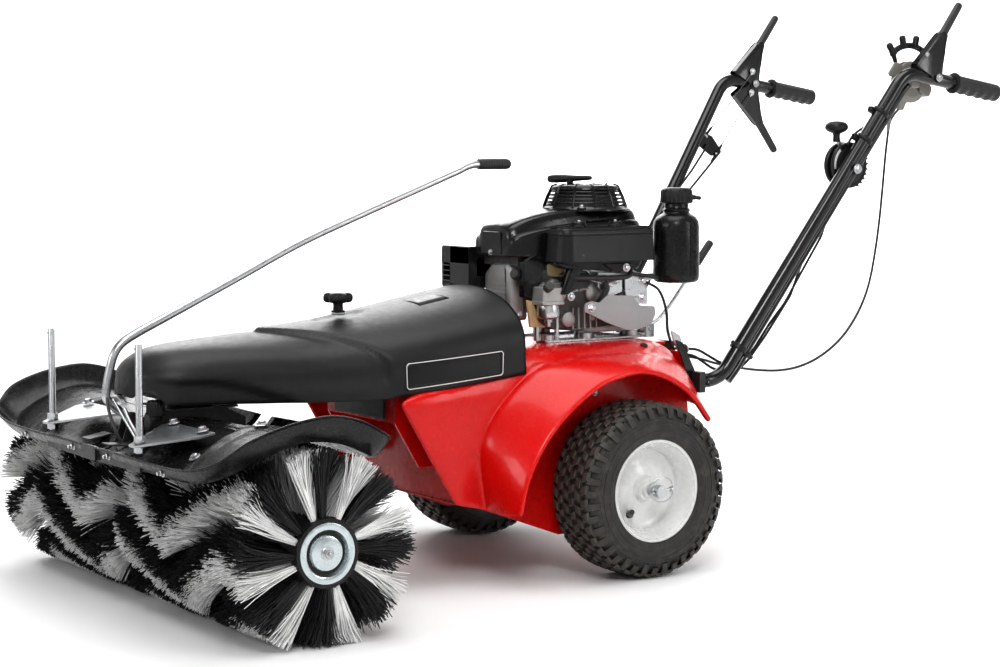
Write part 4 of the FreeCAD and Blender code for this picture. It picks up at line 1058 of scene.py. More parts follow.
def tyre(side):
    half = "left" if side > 0 else "right"
    body = half + "_wheel"
    centre = (side * WHEEL_X, 0, WHEEL_R)
    profile = [(r, -s) for r, s in CARCASS] + [(r, s) for r, s in reversed(CARCASS[:-1])]
    inner = [(86, 40), (98, 49), (120, 55), (140, 50), (150, 30), (150, -30), (140, -50), (120, -55),
             (98, -49), (86, -40)]
    carcass = Shape()
    carcass.add(TYRE_RUBBER, lathe(profile + inner, centre, LEFT, 120, closed=True))
    for s, r, thick in ((61.7, 112, 0.9), (61.9, 126, 0.9), (60.2, 133.5, 0.8), (57.4, 99.5, 1.0)):
        for way in (1, -1):
            loop = [Vector((side * WHEEL_X + way * s, r * math.sin(2 * math.pi * i / 96),
                            WHEEL_R + r * math.cos(2 * math.pi * i / 96)))
                    for i in range(98)]
            carcass.add(TYRE_RUBBER, pipe(loop, thick, 6, capped=False))
    carcass.build(half + "_tyre_carcass", body, "tyre_rubber", [half + "_tyre"], weld=False, angle=50)
    tread = Shape()
    count = 40
    lanes = [(-44.5, 13.5, 17), (-27.0, 14.0, 15), (-9.0, 14.0, 15), (9.0, 14.0, 15), (27.0, 14.0, 15),
             (44.5, 13.5, 17)]
    for lane, (x, width, length) in enumerate(lanes):
        for i in range(count):
            turn = 360 / count * (i + 0.5 * (lane % 2))
            skew = 2.4 if lane % 2 else -2.4
            tread.add(TYRE_RUBBER, tread_block(width, length, x, turn, TREAD_TOP, skew, side))
    for way in (1, -1):
        for i in range(count):
            turn = math.radians(360 / count * (i + (0.25 if way > 0 else 0.75)))
            tall = 13 if i % 2 else 7
            rows = []
            for radius, s in ((159.5, 49.5), (155, 55.5), (150, 58.8), (150 - tall, 61.6)):
                row = []
                for b, lift in ((-7.2, 0), (-5.6, 1.6), (5.6, 1.6), (7.2, 0)):
                    angle = turn + b / 158
                    row.append(Vector((side * WHEEL_X + way * (s + lift - 1.0),
                                       (radius + lift * 0.6) * math.sin(angle),
                                       WHEEL_R + (radius + lift * 0.6) * math.cos(angle))))
                rows.append(row)
            lug = grid(rows)
            tread.add(TYRE_RUBBER, lug)
            low = [Vector((p.x - way * 3, p.y, p.z)) for p in rows[-1]]
            tread.add(TYRE_RUBBER, grid([rows[-1], low]))
    tread.build(half + "_tyre_tread", body, "tyre_rubber", angle=25)


def rim(side):
    """Dished steel disc wheel with its valve, hub tube, linch pin and wire ring."""
    half = "left" if side > 0 else "right"
    body = half + "_wheel"
    centre, way = Vector((side * WHEEL_X, 0, WHEEL_R)), (side, 0, 0)
    face = [(95.0, 47.8), (97.0, 51.7), (96.2, 54.9), (93.7, 56.0), (90.9, 54.4), (89.3, 50.0), (87.0, 38),
            (84.6, 33), (81.1, 29.5), (79.6, 24), (78.5, 18), (76.1, 12.5), (71.4, 9.0), (62.6, 7.6),
            (54, 8.4), (46, 11.0), (38, 13.6), (31, 14.8), (26, 16.6), (23.6, 21), (22.4, 27), (20.4, 29.4),
            (17.0, 30)]
    back = [(17, 26), (20, 24), (22, 14), (30, 11.8), (46, 8), (58, 5), (73.2, 6), (75.9, 16), (77.2, 28),
            (81.1, 34), (85.1, 47.8), (89.1, 53.3)]
    shape = Shape()
    shape.add(ENAMEL, lathe(face + back, centre, way, 128, closed=True))
    rear = [(95.0, -47.8), (97.0, -51.7), (96.2, -54.9), (93.0, -56.0), (89.1, -50.0), (83.8, -33),
            (78.5, -29), (78.5, 20), (75.9, 20), (75.9, -31), (85.1, -47.8)]
    shape.add(ENAMEL, lathe(rear, centre, way, 96, closed=True))
    shape.add(ENAMEL, lathe([(10.5, -44), (17, -44), (17, 38), (15.6, 39.5), (10.5, 39.5)], centre, way, 48,
                            closed=True))
    shape.build(half + "_rim_disc", body, "white_paint", [half + "_rim"], angle=40)
    parts = Shape()
    turn = math.radians(238)
    foot = centre + Vector((side * 9, 55 * math.cos(turn), 55 * math.sin(turn)))
    lean = Vector((side * 1.0, -0.55, 0.30)).normalized()
    parts.add(GRIP_RUBBER, lathe([(0, -3), (8, -3), (8.2, 0), (6.2, 3), (5.4, 9), (4.6, 20), (4.2, 25),
                                  (0, 25)], foot, lean, 32))
    parts.add(GRIP_RUBBER, lathe([(0, 24), (4.8, 24), (5, 26), (5, 37), (4, 39.5), (0, 39.5)], foot, lean,
                                 24))
    parts.build(half + "_valve", body, "grip_rubber", angle=35)
    pin = Shape()
    x = side * 344
    pin.add(ZINC, lathe([(10.4, 0), (16, 0), (16, 2), (10.4, 2)], (side * 334, 0, WHEEL_R), way, 40,
                        closed=True))
    pin.add(ZINC, lathe([(0, -24), (1.5, -25), (2.5, -22), (2.5, 24), (4.6, 24.5), (4.6, 30), (2.5, 31),
                         (0, 31)],
                        (x, 0, WHEEL_R), (0, 1, 0.12), 20))
    loop = [Vector((x + side * 5 * math.sin(t), 30 - 27 * (1 - math.cos(t)), WHEEL_R + 24 * math.sin(t) + 3))
            for t in (math.radians(d) for d in range(0, 181, 9))]
    lower = [Vector((x + side * 5 * math.sin(t), 30 - 27 * (1 - math.cos(t)), WHEEL_R - 22 * math.sin(t) + 3))
             for t in (math.radians(d) for d in range(0, 181, 9))]
    pin.add(ZINC, pipe(loop, 1.25, 8), pipe(lower, 1.25, 8))
    pin.add(STEEL, lathe([(0, 0), (9.6, 0), (9.6, 1.2), (8.6, 2.2), (3, 2.2), (2, 1), (0, 1)],
                         (side * 349.4, 0, WHEEL_R), way, 36))
    pin.build(half + "_linch_pin", "axle", "zinc", angle=35)


def wheels():
    for side in (1, -1):
        tyre(side)
        rim(side)


# ---------------------------------------------------------------- engine

def rounded(corners, radius, steps=6):
    """A closed outline with its corners rounded; radius is one number or one for each corner."""
    count = len(corners)
    out = []
    for i, corner in enumerate(corners):
        r = radius[i] if isinstance(radius, (list, tuple)) else radius
        here = Vector((*corner, 0))
        before = (Vector((*corners[i - 1], 0)) - here)
        after = (Vector((*corners[(i + 1) % count], 0)) - here)
        r = min(r, before.length * 0.48, after.length * 0.48)
        start, end = here + before.normalized() * r, here + after.normalized() * r
        for k in range(steps + 1):
            t = k / steps
            spot = start * (1 - t) ** 2 + here * 2 * t * (1 - t) + end * t ** 2
            out.append((spot.x, spot.y))
    return out


def shrunk(outline, depth):
    """The outline moved inwards by depth along its own normals."""
    count = len(outline)
    area = sum(outline[i - 1][0] * outline[i][1] - outline[i][0] * outline[i - 1][1] for i in range(count))
    turn = 1 if area > 0 else -1
    out = []
    for i in range(count):
        (a0, b0), (a1, b1) = outline[i - 1], outline[(i + 1) % count]
        da, db = a1 - a0, b1 - b0
        size = math.hypot(da, db) or 1
        out.append((outline[i][0] - turn * db / size * depth, outline[i][1] + turn * da / size * depth))
    return out


def stack(outline, axis, levels):
    """An outline built up along an axis: levels are (height, how far it is drawn in)."""
    order = {"x": lambda a, b, n: (n, a, b), "y": lambda a, b, n: (a, n, b), "z": lambda a, b,
             n: (a, b, n)}[axis]
    rows = [[Vector(order(a, b, n)) for a, b in shrunk(outline, depth)] for n, depth in levels]
    verts, faces = grid(rows, closed=True)
    count = len(outline)
    faces.append(list(range(count)))
    faces.append([(len(rows) - 1) * count + k for k in range(count)])
    return verts, faces


def spring(start, end, radius, turns, wire=0.6):
    start, end = Vector(start), Vector(end)
    way = end - start
    u, v = across(way)
    line = [start]
    for i in range(int(turns * 10) + 1):
        t = i / (turns * 10)
        angle = 2 * math.pi * turns * t
        line.append(start + way * (0.12 + 0.76 * t) + (u * math.cos(angle) + v * math.sin(angle)) * radius)
    return pipe(line + [end], wire, 6)


SHROUD = [(-146, 56, 606, 622), (-143, 64, 622, 640), (-136, 70, 630, 650), (-120, 76, 636, 658),
          (-90, 82, 643, 668),
          (-50, 86, 649, 676), (0, 88, 654, 681), (60, 88, 658, 683), (110, 88, 659, 683),
          (140, 84, 658, 680),
          (158, 72, 654, 674), (165, 54, 646, 662)]


def engine_cowl():
    """Fan housing and duct: a nose over the cylinder head with a stepped, raised spine."""
    half_row = [(1.0, 0, 0), (1.015, 0, 4), (1.0, 0, 9), (0.985, 0.5, 0), (0.975, 0.86, 0),
                (0.955, 0.96, 0), (0.91, 1.0, 0)]
    rows = []
    for y, width, low_edge, top in SHROUD:
        base = 584 + (4 if y > -120 else 8)
        row = []
        for share, rise, lift in half_row:
            row.append(Vector((width * share, y, base + lift + (low_edge - base - lift) * rise)))
        step = min(1.0, (y + 150) / 25)
        row.append(Vector((width * 0.80, y, low_edge + 1.5)))
        row.append(Vector((width * 0.765, y, low_edge + 3 + (top - low_edge - 4) * 0.35 * step)))
        row.append(Vector((width * 0.72, y, top - 5)))
        row.append(Vector((width * 0.66, y, top - 1.2)))
        row.append(Vector((width * 0.55, y, top + 0.6)))
        row.append(Vector((width * 0.30, y, top + 2.4)))
        row.append(Vector((0, y, top + 3)))
        rows.append(row + [Vector((-p.x, p.y, p.z)) for p in reversed(row[:-1])])
    fine = []
    columns = [smooth(column, 5) for column in zip(*rows)]
    for i in range(len(columns[0])):
        fine.append([column[i] for column in columns])
    shape = Shape()
    shape.add(ENGINE_PLASTIC, grid(fine))
    for row in (fine[0], fine[-1]):
        shape.add(ENGINE_PLASTIC, ([*row], [list(range(len(row)))]))
    shape.build("engine_cowl", "chassis", "engine_plastic", ["engine_shroud"], thick=2.6, weld=True, angle=42)
    trim = Shape()
    side = rounded([(-126, 586), (-104, 596), (60, 596), (60, 574), (-77, 575), (-98, 512), (-127, 515)], 5)
    trim.add(ENGINE_PLASTIC, stack(side, "x", [(66, 0), (80, 0), (82, 1.2)]))
    trim.add(ENGINE_PLASTIC, turned(block(80, 83, -128, -106, 540, 546), (80, -117, 543), (1, 0, 0), 28))
    trim.add(SATIN_PLASTIC, stack(rounded([(-38, 596), (36, 596), (30, 640), (-30, 640)], 6), "y",
                                  [(-146.5, 0), (-148.5, 1.5)]))
    trim.add(ZINC, *bolt((0, -147, 600), (0, -1, 0), 8, 4, 6))
    trim.add(IRON, block(-60, 60, -126, -62, 574, 600))
    trim.build("cowl_side", "chassis", "engine_plastic", bevel=0.8)


def recoil_housing():
    """Starter cage: slatted cone round a dark core, flange with bolts, ribbed top."""
    foot = (0, CRANK.y, 676)
    shape = Shape()
    shape.add(ENGINE_PLASTIC, lathe([(70, 0), (90, 0), (91, 1.5), (90.5, 4), (87, 6), (84, 10), (80, 11),
                                     (78, 8), (70, 8)], foot, UP, 96, closed=True))
    for level, radius in ((17, 80.5), (24, 77.5), (31, 74.3), (38, 71.0)):
        shape.add(ENGINE_PLASTIC, lathe([(radius - 4, -1.5), (radius, -1.7), (radius + 0.6, 0),
                                         (radius - 0.6, 1.6), (radius - 4, 1.4)],
                                        (0, CRANK.y, 676 + level), UP, 96, closed=True))
    shape.add(ENGINE_PLASTIC, lathe([(50, 41), (68.5, 41), (70, 43), (69, 47), (65.5, 50), (60, 51.2),
                                     (48, 51.6), (46, 50), (40, 50), (38, 52),
                                     (20, 53), (0, 53), (0, 48), (50, 46)], foot, UP, 96))
    for i in range(12):
        turn = math.radians(30 * i + 8)
        way = Vector((math.cos(turn), math.sin(turn), 0))
        low, high = Vector(foot) + way * 84 + UP * 8, Vector(foot) + way * 66.5 + UP * 48
        rib = pipe([low, low.lerp(high, 0.5) + way * 1.0 + UP * 0.6, high,
                    Vector(foot) + way * 58 + UP * 51], 2.4, 8, flat=1.5)
        shape.add(ENGINE_PLASTIC, rib)
    for i in range(24):
        turn = math.radians(15 * i)
        way = Vector((math.cos(turn), math.sin(turn), 0))
        shape.add(ENGINE_PLASTIC, pipe([Vector(foot) + way * 24 + UP * 52.6,
                                        Vector(foot) + way * 36 + UP * 51.8], 1.2, 6))
    shape.build("recoil_cage", "chassis", "engine_plastic", ["recoil_cover"], angle=40)
    core = Shape()
    core.add(IRON, lathe([(72, 2), (66, 12), (60, 30), (54, 42), (0, 44), (0, 2)], foot, UP, 64))
    for i in range(36):
        turn = math.radians(10 * i)
        way = Vector((math.cos(turn), math.sin(turn), 0))
        core.add(IRON, pipe([Vector(foot) + way * 69 + UP * 6, Vector(foot) + way * 58 + UP * 38], 1.0, 5))
    core.build("recoil_core", "chassis", "engine_plastic", angle=30)
    bolts = Shape()
    for i in range(3):
        turn = math.radians(120 * i - 40)
        spot = Vector(foot) + Vector((86 * math.cos(turn), 86 * math.sin(turn), 4))
        bolts.add(ENGINE_PLASTIC, lathe([(0, -3), (9, -3), (9, 3), (7.5, 4.5), (0, 4.5)], spot, UP, 24))
        bolts.add(ZINC, *bolt(spot + UP * 4, UP, 8, 4, 6.5))
    bolts.build("recoil_bolts", "chassis", "zinc", angle=30)


def starter_handle():
    """T grip of the recoil starter, thick at one end, with its rope ferrule."""
    start, end = Vector((-59, 27, 738)), Vector((26, 73, 741))
    profile = [(0.0, 3.0), (0.02, 7.6), (0.07, 9.4), (0.2, 9.8), (0.36, 9.2), (0.5, 8.0), (0.66, 6.8),
               (0.82, 6.0), (0.92, 5.6),
               (0.98, 4.6), (1.0, 2.0)]
    shape = Shape()
    shape.add(SATIN_PLASTIC, pipe([start.lerp(end, share) for share, _ in profile],
                                  [size for _, size in profile], 24, flat=0.85))
    shape.add(SATIN_PLASTIC, lathe([(0, -11), (4, -11), (6, -10), (7.5, -2), (7, 2), (0, 2)],
                                   (-16, 50, 738), UP, 24))
    shape.build("starter_t_grip", "starter", "grip_rubber", ["starter_grip"], angle=50)
    cord = Shape()
    cord.add(CABLE_SLEEVE, pipe([(-16, 50, 701 + 1.4 * k) for k in range(21)], 2.3, 12))
    piece = cord.build("starter_cord", None, "cable_sleeve", angle=50)
    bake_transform(piece)


def air_box():
    """Air cleaner: drafted case with a big round corner, seam, lid and two wing knobs, duct bracket."""
    case = rounded([(92, -90), (152, -82), (152, 138), (92, 138)], [12, 36, 10, 6], 10)
    shape = Shape()
    shape.add(SATIN_PLASTIC, stack(case, "z", [(584, 3), (583, 1), (585, 0), (600, 1.5), (622, 3.5),
                                               (633, 4.4), (633.6, 6), (635.2, 6), (635.8, 4.6),
                                               (641, 5.4), (645, 7), (647.4, 10), (648.4, 14), (648.6, 26)]))
    rib = shrunk(rounded([(92, -90), (152, -82), (152, 138), (92, 138)], [12, 36, 10, 6], 10), 12)
    line = [Vector((a, b, 648.2)) for a, b in rib]
    shape.add(SATIN_PLASTIC, pipe(line + line[:2], 1.2, 6, capped=False))
    shape.build("air_box", "chassis", "engine_plastic", ["air_cleaner"], angle=30)
    knobs = Shape()
    for y in (-24, 62):
        foot = (118, y, 647)
        knobs.add(SATIN_PLASTIC, lathe([(0, 0), (12, 0), (12.5, 1.5), (12, 4), (8.5, 6), (8, 10), (6, 12),
                                        (0, 12)], foot, UP, 32))
        wing = rounded([(-15, 1), (-12, 13), (-6, 10), (6, 10), (12, 13), (15, 1)], 2.5, 4)
        knobs.add(SATIN_PLASTIC, turned(stack([(118 + a, 648 + b) for a, b in wing], "y",
                                              [(y - 3.4, 1.2), (y - 2.4, 0), (y + 2.4, 0), (y + 3.4, 1.2)]),
                                        foot, (0, 0, 1), 35 if y < 0 else 70))
        knobs.add(ZINC, lathe([(0, 11), (3.2, 11), (3.2, 14), (2.4, 15), (0, 15)], foot, UP, 16))
    knobs.build("air_box_knobs", "chassis", "grip_rubber", angle=35)
    under = Shape()
    under.add(ENGINE_PLASTIC, stack(rounded([(-90, 584), (118, 584), (112, 566), (60, 560), (10, 566),
                                             (-60, 570)], 6), "x", [(96, 0), (126, 0), (128, 1.5)]))
    under.add(ENGINE_PLASTIC, stack(rounded([(24, 578), (92, 578), (66, 560), (52, 560)], 4), "x",
                                    [(126, 0), (131, 0), (132, 1)]))
    under.add(ENGINE_PLASTIC, stack(rounded([(-46, 580), (-8, 580), (-50, 521), (-70, 521)], 4), "x",
                                    [(112, 1.2), (113, 0), (122, 0), (123, 1.2)]))
    under.add(ENGINE_PLASTIC, pipe([(124, -40, 574), (124, -62, 524)], 1.6, 8))
    under.build("air_box_bracket", "chassis", "engine_plastic", bevel=0.8)


def head_cover():
    """Cast valve cover with its flange, ears and four flanged bolts."""
    outline = rounded([(-58, 490), (-46, 474), (32, 466), (48, 478), (48, 568), (36, 588), (-26, 586),
                       (-58, 560)], 9, 5)
    shape = Shape()
    shape.add(CAST, stack(outline, "y", [(-98, 0), (-107, 0), (-108, 1.0)]))
    shape.add(CAST, stack(shrunk(outline, 4.5), "y", [(-108, 0), (-124, 2.5), (-129, 5), (-131.5, 9),
                                                      (-132, 16)]))
    for x, z in ((-44, 572), (40, 577), (40, 478), (-48, 485)):
        shape.add(CAST, lathe([(0, 0), (9.5, 0), (9.5, 12), (8.5, 13.5), (0, 13.5)], (x, -98, z),
                              (0, -1, 0), 24))
    for k in range(3):
        shape.add(CAST, stack(rounded([(-20, 520 + 9 * k), (28, 520 + 9 * k), (28, 523 + 9 * k),
                                       (-20, 523 + 9 * k)], 1.2, 3), "y", [(-131, 0), (-133, 0.4)]))
    shape.build("head_cover", "chassis", "cast_aluminium", ["valve_cover"], angle=32)
    bolts = Shape()
    for x, z in ((-44, 572), (40, 577), (40, 478), (-48, 485)):
        bolts.add(ZINC, *bolt((x, -111.5, z), (0, -1, 0), 8, 6, 7.5))
    bolts.build("head_cover_bolts", "chassis", "zinc", angle=30)


def crankcase_detail():
    """Duct plates, bolts, spark plug, breather hose, bosses and base bars round the crankcase."""
    beige = Shape()
    for outline in ([(-122, 511), (-108, 508), (-97, 482), (-82, 466), (-78, 456), (-114, 458), (-119, 492)],
                    [(-46, 496), (-33, 493), (-31, 481), (-43, 462), (-64, 458), (-60, 468), (-47, 476)],
                    [(-74, 578), (-36, 577), (-38, 562), (-56, 553), (-70, 556)]):
        beige.add(BEIGE, stack(rounded(outline, 3, 3), "x", [(80, 0), (84, 0), (85, 0.6)]))
    beige.build("duct_plates", "chassis", "engine_plastic", bevel=0.4)
    iron = Shape()
    iron.add(IRON, stack(rounded([(-70, 452), (130, 452), (140, 470), (140, 540), (-90, 545), (-98, 470)],
                                 10), "x", [(62, 2), (64, 0), (86, 0), (88, 2)]))
    for y, z, r in ((-30, 470, 16), (30, 520, 20), (70, 486, 26), (-64, 536, 14)):
        iron.add(CAST, lathe([(0, 0), (r, 0), (r - 1, 8), (r - 3, 9.5), (0, 9.5)], (86, y, z), LEFT, 32))
    for k in range(5):
        y = -20 + 14 * k
        iron.add(CAST, block(86, 92, y, y + 3, 450, 492))
    iron.add(CAST, stack(rounded([(-70, 20), (70, 20), (84, 60), (84, 120), (50, 150), (-50, 150),
                                  (-84, 120), (-84, 60)], 16),
                         "z", [(441, 1), (442, 0), (451, 0), (452, 1)]))
    iron.build("crankcase_side", "chassis", "cast_aluminium", bevel=0.8)
    bars = Shape()
    for x0, x1, y0, y1 in ((60, 96, -86, 148), (-96, -60, -86, 148), (-60, 60, 118, 148)):
        bars.add(ZINC, stack(rounded([(x0, y0), (x1, y0), (x1, y1), (x0, y1)], 6), "z",
                             [(427.4, 0.4), (428, 0), (431, 0), (431.6, 0.4)]))
    for x, y in ((78, -70), (78, 20), (78, 132), (-78, 20), (-78, 132)):
        bars.add(ZINC, lathe([(0, 0), (14, 0), (14, 10), (13, 11), (0, 11)], (x, y, 431), UP, 32))
        bars.add(STEEL, *bolt((x - 16, y + 4, 431.6), UP, 10, 5, 9))
    bars.add(ZINC, lathe([(0, 0), (5, 0), (5, 52), (0, 52)], (84, -52, 431), UP, 20))
    bars.add(ZINC, lathe([(0, 0), (5, 0), (5, 32), (0, 32)], (80, -96, 431), UP, 20))
    bars.build("engine_base_bars", "chassis", "zinc", angle=32)
    small = Shape()
    for x, y, z, size in ((132, 79, 569, 10), (112, -38, 516, 10), (118, 3, 492, 9), (96, -84, 532, 9),
                          (90, 30, 474, 10), (90, 96, 520, 10)):
        small.add(ZINC, *bolt((x, y, z), LEFT, size, 6, size * 0.85))
    small.add(ZINC, pipe(smooth([(112, -30, 564), (114, -6, 566), (116, 2, 560), (116, 6, 554)], 5), 1.0, 8))
    small.add(ZINC, pipe([(104, -66, 540), (110, -40, 548), (112, 6, 546), (112, 40, 538)], 1.1, 8))
    small.add(STEEL, spring((108, -58, 522), (112, 6, 530), 3.4, 12),
              spring((112, 20, 545), (114, 76, 538), 3.0, 14))
    small.add(ZINC, pipe(smooth([(96, -76, 512), (104, -66, 520), (110, -50, 522), (112, -36, 516)], 5),
                         1.6, 8))
    small.build("engine_fixings", "chassis", "zinc", angle=32)
    hose = Shape()
    hose.add(GRIP_RUBBER, pipe(smooth([(112, -50, 553), (120, -30, 552), (121, 20, 550), (121, 70, 549),
                                       (120, 96, 553), (112, 104, 566)], 8), 5.2, 16))
    hose.add(GRIP_RUBBER, pipe(smooth([(110, 40, 545), (116, 44, 528), (112, 36, 512), (100, 34, 500)], 6),
                               6.0, 14))
    hose.add(CABLE_SLEEVE, pipe(smooth([(118, 100, 556), (128, 150, 548), (130, 190, 538), (130, 203, 545)],
                                       8), 4.0, 12))
    hose.add(CABLE_SLEEVE, pipe(smooth([(121, 138, 538), (126, 165, 520), (124, 184, 480), (124, 188, 440),
                                        (134, 196, 400), (140, 200, 380)], 8), 2.8, 12))
    hose.add(GRIP_RUBBER, lathe([(0, 0), (11, 0), (12, 3), (11, 20), (8, 26), (0, 26)], (50, -116, 556),
                                (0.5, -0.8, 0.2), 20))
    hose.build("engine_hoses", "chassis", "grip_rubber", angle=50)


def carburettor_detail():
    """Carburettor body, silver float bowl with its drain screw, choke lever and intake elbow."""
    shape = Shape()
    foot = (100, -83, 459)
    shape.add(ZINC, lathe([(0, 0), (4.5, 0), (5, 1.5), (5, 8), (8, 9), (8, 14), (17, 16), (21.5, 19),
                           (22.5, 23), (22.5, 42), (21.5, 44), (0, 44)], foot, UP, 48))
    shape.add(CAST, stack(rounded([(76, -110), (124, -110), (124, -58), (76, -58)], 9), "z",
                          [(502, 1), (503, 0), (508, 0), (509, 1.5), (534, 4), (536, 7)]))
    shape.add(CAST, lathe([(0, -10), (17, -10), (18, -8), (18, 34), (16, 36), (0, 36)], (100, -88, 524),
                          (0, 1, 0), 36))
    shape.add(IRON, lathe([(0, 0), (9, 0), (9, 14), (7, 16), (0, 16)], (118, -98, 534), (1, -0.2, 0.4), 20))
    shape.add(CAST, *bolt((114, -104, 508), UP, 7, 4, 5), *bolt((114, -64, 508), UP, 7, 4, 5))
    shape.build("carburettor_body", "chassis", "cast_aluminium", ["carburettor"], angle=34)


def governor_bracket():
    """Grey control plate with its folded edge, and the zinc bracket above with two bolts."""
    outline = rounded([(-10, 502), (4, 506), (24, 502), (42, 516), (98, 513), (106, 511), (121, 493),
                       (158, 490), (160, 474), (149, 454),
                       (119, 446), (88, 446), (43, 462), (-12, 486)], 4, 4)
    shape = Shape()
    shape.add(GREY_PAINT, stack(outline, "x", [(117.6, 0.5), (118, 0), (120.8, 0), (121.2, 0.5)]))
    shape.add(GREY_PAINT, stack(rounded([(92, 96), (120, 96), (120, 120), (92, 120)], 3), "z",
                                [(508, 0), (511, 0)]))
    shape.build("control_plate", "chassis", "grey_paint", ["control_bracket"], angle=34)
    zinc = Shape()
    zinc.add(ZINC, stack(rounded([(90, 552), (112, 552), (120, 556), (144, 552), (146, 494), (118, 496),
                                  (92, 512)], 4, 3), "x", [(110, 0.4), (110.4, 0), (113, 0), (113.4, 0.4)]))
    zinc.add(ZINC, stack(rounded([(30, 560), (88, 556), (88, 520), (60, 512), (30, 530)], 4, 3), "x",
                         [(104, 0.4), (104.4, 0), (107, 0), (107.4, 0.4)]))
    for y, z in ((132, 541), (132, 508), (4, 493), (40, 548), (56, 536)):
        zinc.add(ZINC, *bolt((113.4 if y > 60 else (121 if z < 500 else 107), y, z), LEFT, 10, 6, 9))
    zinc.add(ZINC, lathe([(0, 0), (7, 0), (7, 20), (0, 20)], (110, 138, 548), (0.2, 1, 0), 20))
    zinc.build("control_zinc", "chassis", "zinc", angle=32)


def exhaust():
    """Silencer behind a black guard with louvres."""
    can = Shape()
    can.add(STEEL, stack(rounded([(-140, 536), (-58, 536), (-58, 598), (-140, 598)], 14), "y",
                         [(-148, 4), (-146, 1), (-143, 0), (-88, 0), (-85, 1), (-84, 4)]))
    can.build("silencer", "chassis", "steel", ["muffler"], angle=34)
    guard = Shape()
    for x0, x1, z0, z1 in ((-156, -150, 526, 607), (-126, -58, 526, 607), (-156, -58, 574, 607),
                           (-156, -58, 526, 534)):
        guard.add(BLACK_PAINT, stack(rounded([(x0, z0), (x1, z0), (x1, z1), (x0, z1)], 3), "y",
                                     [(-162, 0.5), (-161.4, 0), (-159.6, 0), (-159, 0.5)]))
    for k in range(4):
        for x0, x1 in ((-151, -125),):
            slat = block(x0, x1, -163, -157, 539 + 10 * k, 541 + 10 * k)
            guard.add(BLACK_PAINT, turned(slat, ((x0 + x1) / 2, -160, 540 + 10 * k), (1, 0, 0), 28))
    guard.add(BLACK_PAINT, stack(rounded([(-156, -161), (-58, -161), (-58, -92), (-156, -92)], 4), "z",
                                 [(604, 0), (607, 0), (608, 1)]))
    side = rounded([(-161, 526), (-161, 606), (-92, 606), (-92, 560), (-120, 526)], 6)
    guard.add(BLACK_PAINT, stack(side, "x", [(-158, 0), (-156, 0)]), stack(side, "x", [(-60, 0), (-58, 0)]))
    guard.build("silencer_guard", "chassis", "black_paint", ["muffler_guard"], bevel=0.5)


def tank():
    """Blow-moulded bottle tank with its neck ring, ribbed cap and hose stub."""
    foot = (TANK.x, TANK.y, 0)
    shape = Shape()
    shape.add(TANK_PLASTIC, lathe([(0, 539), (28, 537), (38, 536.4), (42.5, 539), (45.2, 544), (45.8, 552),
                                   (45.6, 600), (45.2, 646), (44, 656), (39, 664),
                                   (31, 669.5), (26.5, 672), (25.2, 675), (26.8, 676.5), (27, 679.5),
                                   (25, 681), (23.6, 683), (23.6, 692), (0, 692)],
                                  foot, UP, 72))
    for x in (-1, 1):
        shape.add(TANK_PLASTIC, stack(rounded([(TANK.x + x * 44, TANK.y - 1),
                                               (TANK.x + x * 46.6, TANK.y - 1),
                                               (TANK.x + x * 46.6, TANK.y + 1),
                                               (TANK.x + x * 44, TANK.y + 1)], 0.4, 2), "z", [(550,
                                               0), (650, 0)]))
    shape.build("tank_bottle", "chassis", "black_plastic", ["fuel_tank"], angle=50)
    cap = Shape()
    ring = []
    for height, grow in ((691, -3), (692.5, -0.6), (694, 0), (714, -1), (718, -2.4), (721, -5.5), (722, -9)):
        line = []
        for i in range(144):
            turn = 2 * math.pi * i / 144
            r = 31.4 + grow + (1.1 if (i % 6) < 3 and 693 < height < 719 else 0)
            line.append(Vector((TANK.x + r * math.cos(turn), TANK.y + r * math.sin(turn), height)))
        ring.append(line)
    cap.add(SATIN_PLASTIC, grid(ring, closed=True))
    cap.add(SATIN_PLASTIC, (ring[-1], [list(range(144))]), (ring[0], [list(range(144))]))
    cap.add(SATIN_PLASTIC, lathe([(0, 0), (5, 0), (5, 14), (4, 15), (4, 26), (3, 27), (0, 27)],
                                 (TANK.x + 6, TANK.y + 26, 704), (0.15, 1, -0.12), 20))
    cap.build("tank_cap", "cap", "black_plastic", ["fuel_cap"], weld=True, angle=40)


def gear_rod():
    """Gear lever: bent zinc rod from its lugs, with a black sleeve grip."""
    shape = Shape()
    line = smooth([(80, 166, 443), (80, 178, 451), (80, 200, 462), (80, 232, 492), (80, 262, 528),
                   (80, 300, 572)], 8)
    shape.add(ZINC, pipe(line, 4.2, 16), lathe([(4.1, -8), (9, -8), (9, 8), (4.1, 8)], (80, 166, 443), LEFT,
                                               32, closed=True))
    shape.build("gear_rod", "shifter", "zinc", ["gear_lever"], angle=40)
    grip = Shape()
    start, end = Vector((80, 296, 568)), Vector((80, 331, 611))
    grip.add(GRIP_RUBBER, lathe([(4.2, 0), (7.4, 0), (8, 1.5), (8, 50), (7, 54), (4, 56), (0, 56.4)], start,
                                end - start, 28))
    grip.build("gear_grip", "shifter", "grip_rubber", angle=40)


def engine():
    for part in (engine_cowl, recoil_housing, starter_handle, air_box, head_cover, crankcase_detail,
                 carburettor_detail,
                 governor_bracket, exhaust, tank, gear_rod):
        part()


# ---------------------------------------------------------------- handlebar and controls

PIVOT = local(middle("pivot_bolts"))
TUBE_TOP = Vector((285, 662, 952))
TUBE_END = Vector((285, 919, 912))


